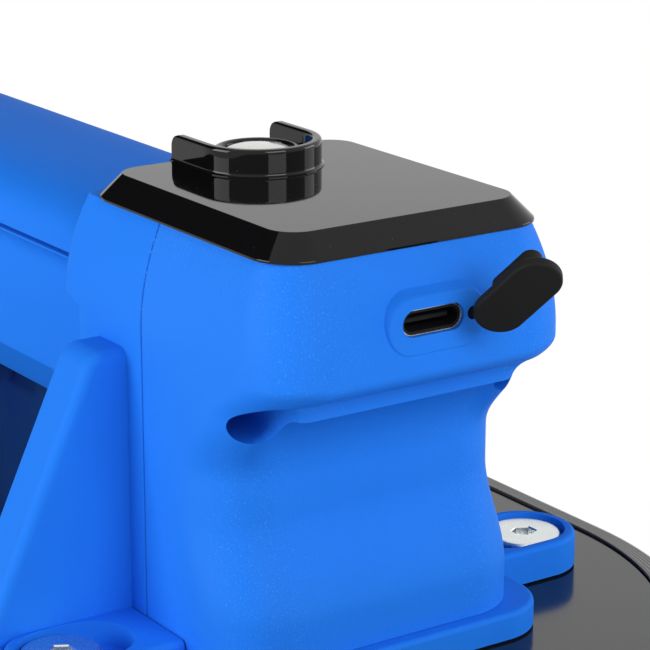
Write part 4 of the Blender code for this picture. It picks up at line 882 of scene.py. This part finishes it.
def instanced(name, mesh, points, finish, stands_for):
    """Copies of a small mesh at points in millimetres, made by a node tree and kept as one plain mesh."""
    tree = bpy.data.node_groups.new(name, "GeometryNodeTree")
    tree.interface.new_socket("Geometry", in_out="INPUT", socket_type="NodeSocketGeometry")
    shape = tree.interface.new_socket("Shape", in_out="INPUT", socket_type="NodeSocketObject")
    tree.interface.new_socket("Geometry", in_out="OUTPUT", socket_type="NodeSocketGeometry")
    start, info, spread, real, coat, end = (tree.nodes.new(kind) for kind in (
        "NodeGroupInput", "GeometryNodeObjectInfo", "GeometryNodeInstanceOnPoints",
        "GeometryNodeRealizeInstances", "GeometryNodeSetMaterial", "NodeGroupOutput"))
    coat.inputs["Material"].default_value = FINISHES[finish]
    for output, socket in ((start.outputs["Shape"], info.inputs["Object"]),
                           (start.outputs["Geometry"], spread.inputs["Points"]),
                           (info.outputs["Geometry"], spread.inputs["Instance"]),
                           (spread.outputs["Instances"], real.inputs["Geometry"]),
                           (real.outputs["Geometry"], coat.inputs["Geometry"]),
                           (coat.outputs["Geometry"], end.inputs["Geometry"])):
        tree.links.new(output, socket)
    seed = placed(f"{name}_shape", mesh)
    spots = bpy.data.meshes.new(f"{name}_spots")
    spots.from_pydata([Vector(point) * MM for point in points], [], [])
    host = placed(f"{name}_spots", spots)
    step = host.modifiers.new("spread", "NODES")
    step.node_group = tree
    step[shape.identifier] = seed
    graph = bpy.context.evaluated_depsgraph_get()
    plain = bpy.data.meshes.new_from_object(host.evaluated_get(graph))
    for obj in (seed, host):
        bpy.data.objects.remove(obj)
    return piece(name, plain, finish, stands_for=stands_for)


def lug_screws():
    """Flat headed screws with a hexagon socket, one at each foot lug."""
    high, length, hexagon, soft, steps = 2.4, 7.8, 1.5, 0.6, 60

    def six(scale, z):
        points = []
        for a in sweep(0, 360, steps)[:-1]:
            radius = scale * hexagon / math.cos(a % (math.pi / 3) - math.pi / 6)
            points.append((radius * math.cos(a), radius * math.sin(a), z))
        return points

    profile = [(LUG_SCREW, -length), (LUG_SCREW, 0), (LUG_HEAD - 0.15, 0), (LUG_HEAD, 0.15)]
    profile += [(LUG_HEAD - soft * (1 - math.cos(a)), high - soft * (1 - math.sin(a)))
                for a in sweep(0, 90, 6)]
    loops = [[(x, y, z) for x, y in circle(radius, steps)] for radius, z in profile]
    loops += [six(1.12, high), six(1.0, high - 0.18), six(1.0, high - 1.4)]
    names = [f"lug_screw_{side}_{hand}" for side in ("front", "rear") for hand in ("right", "left")]
    points = [(post.lug, y, LUG_SEAT + 0.3) for post in (FRONT, REAR) for y in (LUG_Y, -LUG_Y)]
    instanced("lug_screws", cleaned(loft(loops)), points, "steel", names)


def vent_spring():
    """Coil spring round the vent's plunger, between the lowest and highest points of the imported spring."""
    heights = [vert.co.z / MM for vert in nodes["vent_spring"].data.vertices]
    low, high = min(heights), max(heights)
    wire, radius, turns, steps, lift = 0.35, 3.2, 6, 24, 1.5
    loops = []
    for k in range(turns * steps + 1):
        turn = 2 * math.pi * k / steps
        middle = low + wire + (high - low - 2 * wire) * k / (turns * steps)
        loops.append([(VENT_X + (radius + x) * math.cos(turn), (radius + x) * math.sin(turn), middle + z)
                      for x, z in circle(wire, 10)])
    coil = piece("spring_coil", loft(loops), "steel", stands_for=("vent_spring",))
    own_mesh(coil)


def inner_pieces():
    """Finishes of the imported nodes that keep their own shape."""
    looks = {
        "inner": ("usb_seat", "display_module", "key_switch", "battery_cradle", "pump_valve_head",
                  "crank_case", "vent_coil", "pressure_sensor"),
        "rubber": ("pump_diaphragm", "vent_seal"), "foam": ("inlet_filter",), "board": ("control_board",),
        "cell": ("battery_cell",), "brass": ("inlet_nipple", "pump_crank"),
        "steel": ("pump_motor", "motor_shaft", "vent_plunger", "cover_screw_front_left",
                  "cover_screw_front_right", "cover_screw_rear_left", "cover_screw_rear_right"),
    }
    for finish, names in looks.items():
        for name in names:
            mesh = nodes[name].data
            mesh.materials.clear()
            mesh.materials.append(FINISHES[finish])


def floor():
    """Pale floor that keeps the shadow near the part and turns to plain white further off."""
    bm = bmesh.new()
    bmesh.ops.create_grid(bm, x_segments=1, y_segments=1, size=3000)
    obj = placed("floor", cleaned(bm))
    finish = Finish("pale_floor", roughness=0.9)
    finish.set("Base Color", (0.9, 0.9, 0.9, 1))
    rays = finish.node("ShaderNodeLightPath", out="Is Camera Ray")
    light = rays.socket.node
    for ray in ("Is Glossy Ray", "Is Transmission Ray"):
        rays = rays.math("MAXIMUM", Value(finish, light.outputs[ray]))
    along = (finish.axis("X").math("ABSOLUTE") - BASE_STRAIGHT).math("MAXIMUM", 0.0)
    across = finish.axis("Y")
    away = (along * along + across * across).math("SQRT") - BASE_HALF
    white = finish.node("ShaderNodeEmission", None, {"Strength": 1.0})
    blend = finish.node("ShaderNodeMixShader", None, {0: rays * (0.5 + 0.5 * away.step(0, 26)), 2: white})
    finish.tree.links.new(finish.shader.outputs[0], blend.socket.node.inputs[1])
    finish.tree.links.new(blend.socket, finish.tree.nodes["Material Output"].inputs["Surface"])
    obj.data.materials.append(finish.material)


def direction(turn, rise):
    """The way out at a compass angle and an elevation, both in radians."""
    return math.cos(turn) * math.cos(rise), math.sin(turn) * math.cos(rise), math.sin(rise)


def lamp(name, turn, rise, away, size, power):
    """A square soft light at a compass angle and elevation in degrees, aimed at the head."""
    way = Vector(direction(math.radians(turn), math.radians(rise)))
    data = bpy.data.lights.new(name, "AREA")
    data.size = size
    data.energy = power
    obj = bpy.data.objects.new(name, data)
    obj.location = Vector(AIM) * MM + way * away
    obj.rotation_euler = way.to_track_quat("Z", "Y").to_euler()
    bpy.context.scene.collection.objects.link(obj)


def flag():
    """Dark card behind the part on the left, seen only in gloss, so that edges on that side draw dark."""
    away, steps = 900, 12
    bm = bmesh.new()
    rings = []
    for rise in sweep(10, 60, 1):
        ways = [direction(turn, rise) for turn in sweep(165, 240, steps)]
        rings.append([bm.verts.new([AIM[k] + away * way[k] for k in range(3)]) for way in ways])
    for k in range(steps):
        bm.faces.new((rings[0][k], rings[0][k + 1], rings[1][k + 1], rings[1][k]))
    obj = placed("dark_card", cleaned(bm))
    finish = Finish("card_black", roughness=1.0, Specular_IOR_Level=0.0)
    finish.set("Base Color", (0.01, 0.01, 0.01, 1))
    obj.data.materials.append(finish.material)
    obj.visible_camera = obj.visible_diffuse = obj.visible_shadow = obj.visible_transmission = False


def light():
    """White surroundings, a low key from the left, a fill from ahead, an edge light and a dark card."""
    ambient = 0.15
    world = bpy.data.worlds.new("studio")
    bpy.context.scene.world = world
    world.use_nodes = True
    tree = world.node_tree
    rays = tree.nodes.new("ShaderNodeLightPath")
    seen = rays.outputs["Is Camera Ray"]
    for ray in ("Is Glossy Ray", "Is Transmission Ray"):
        either = tree.nodes.new("ShaderNodeMath")
        either.operation = "MAXIMUM"
        tree.links.new(seen, either.inputs[0])
        tree.links.new(rays.outputs[ray], either.inputs[1])
        seen = either.outputs[0]
    level = tree.nodes.new("ShaderNodeMapRange")
    level.inputs["To Min"].default_value = ambient
    level.inputs["To Max"].default_value = 1.0
    tree.links.new(seen, level.inputs["Value"])
    tree.links.new(level.outputs[0], tree.nodes["Background"].inputs["Strength"])
    tree.nodes["Background"].inputs["Color"].default_value = (1, 1, 1, 1)
    lamp("key", -105, 14, 1.0, 0.6, 8.3)
    lamp("fill", 2, 30, 1.0, 0.6, 7.2)
    lamp("edge", 75, 12, 1.0, 0.5, 3)
    flag()


def camera():
    """The photograph's point of view: a long lens, set level and shifted a little to match its edges."""
    target, distance, across, down = Vector((84, -18, 74.2)), 300, 5.25, 6.65
    focal_pixels, picture_pixels, sensor = 2570, 650, 36
    back = Vector((0.7921, -0.5403, 0.2840)).normalized()
    right = Vector((0.5635, 0.8261, 0)).normalized()
    up = back.cross(right)
    place = target + back * distance + right * across - up * down
    data = bpy.data.cameras.new("view")
    data.sensor_width = sensor
    data.lens = focal_pixels / picture_pixels * sensor
    data.clip_start = 0.01
    obj = bpy.data.objects.new("view", data)
    turn = Matrix((right, up, back)).transposed().to_4x4()
    obj.matrix_world = Matrix.Translation(place * MM) @ turn
    bpy.context.scene.collection.objects.link(obj)
    bpy.context.scene.camera = obj


bpy.context.scene.view_settings.view_transform = "Standard"
camera()
light()
floor()
end_covers()
body_frame()
handle_lid()
panel()
guard()
button()
plug()
port()
base()
lug_screws()
vent_spring()
inner_pieces()
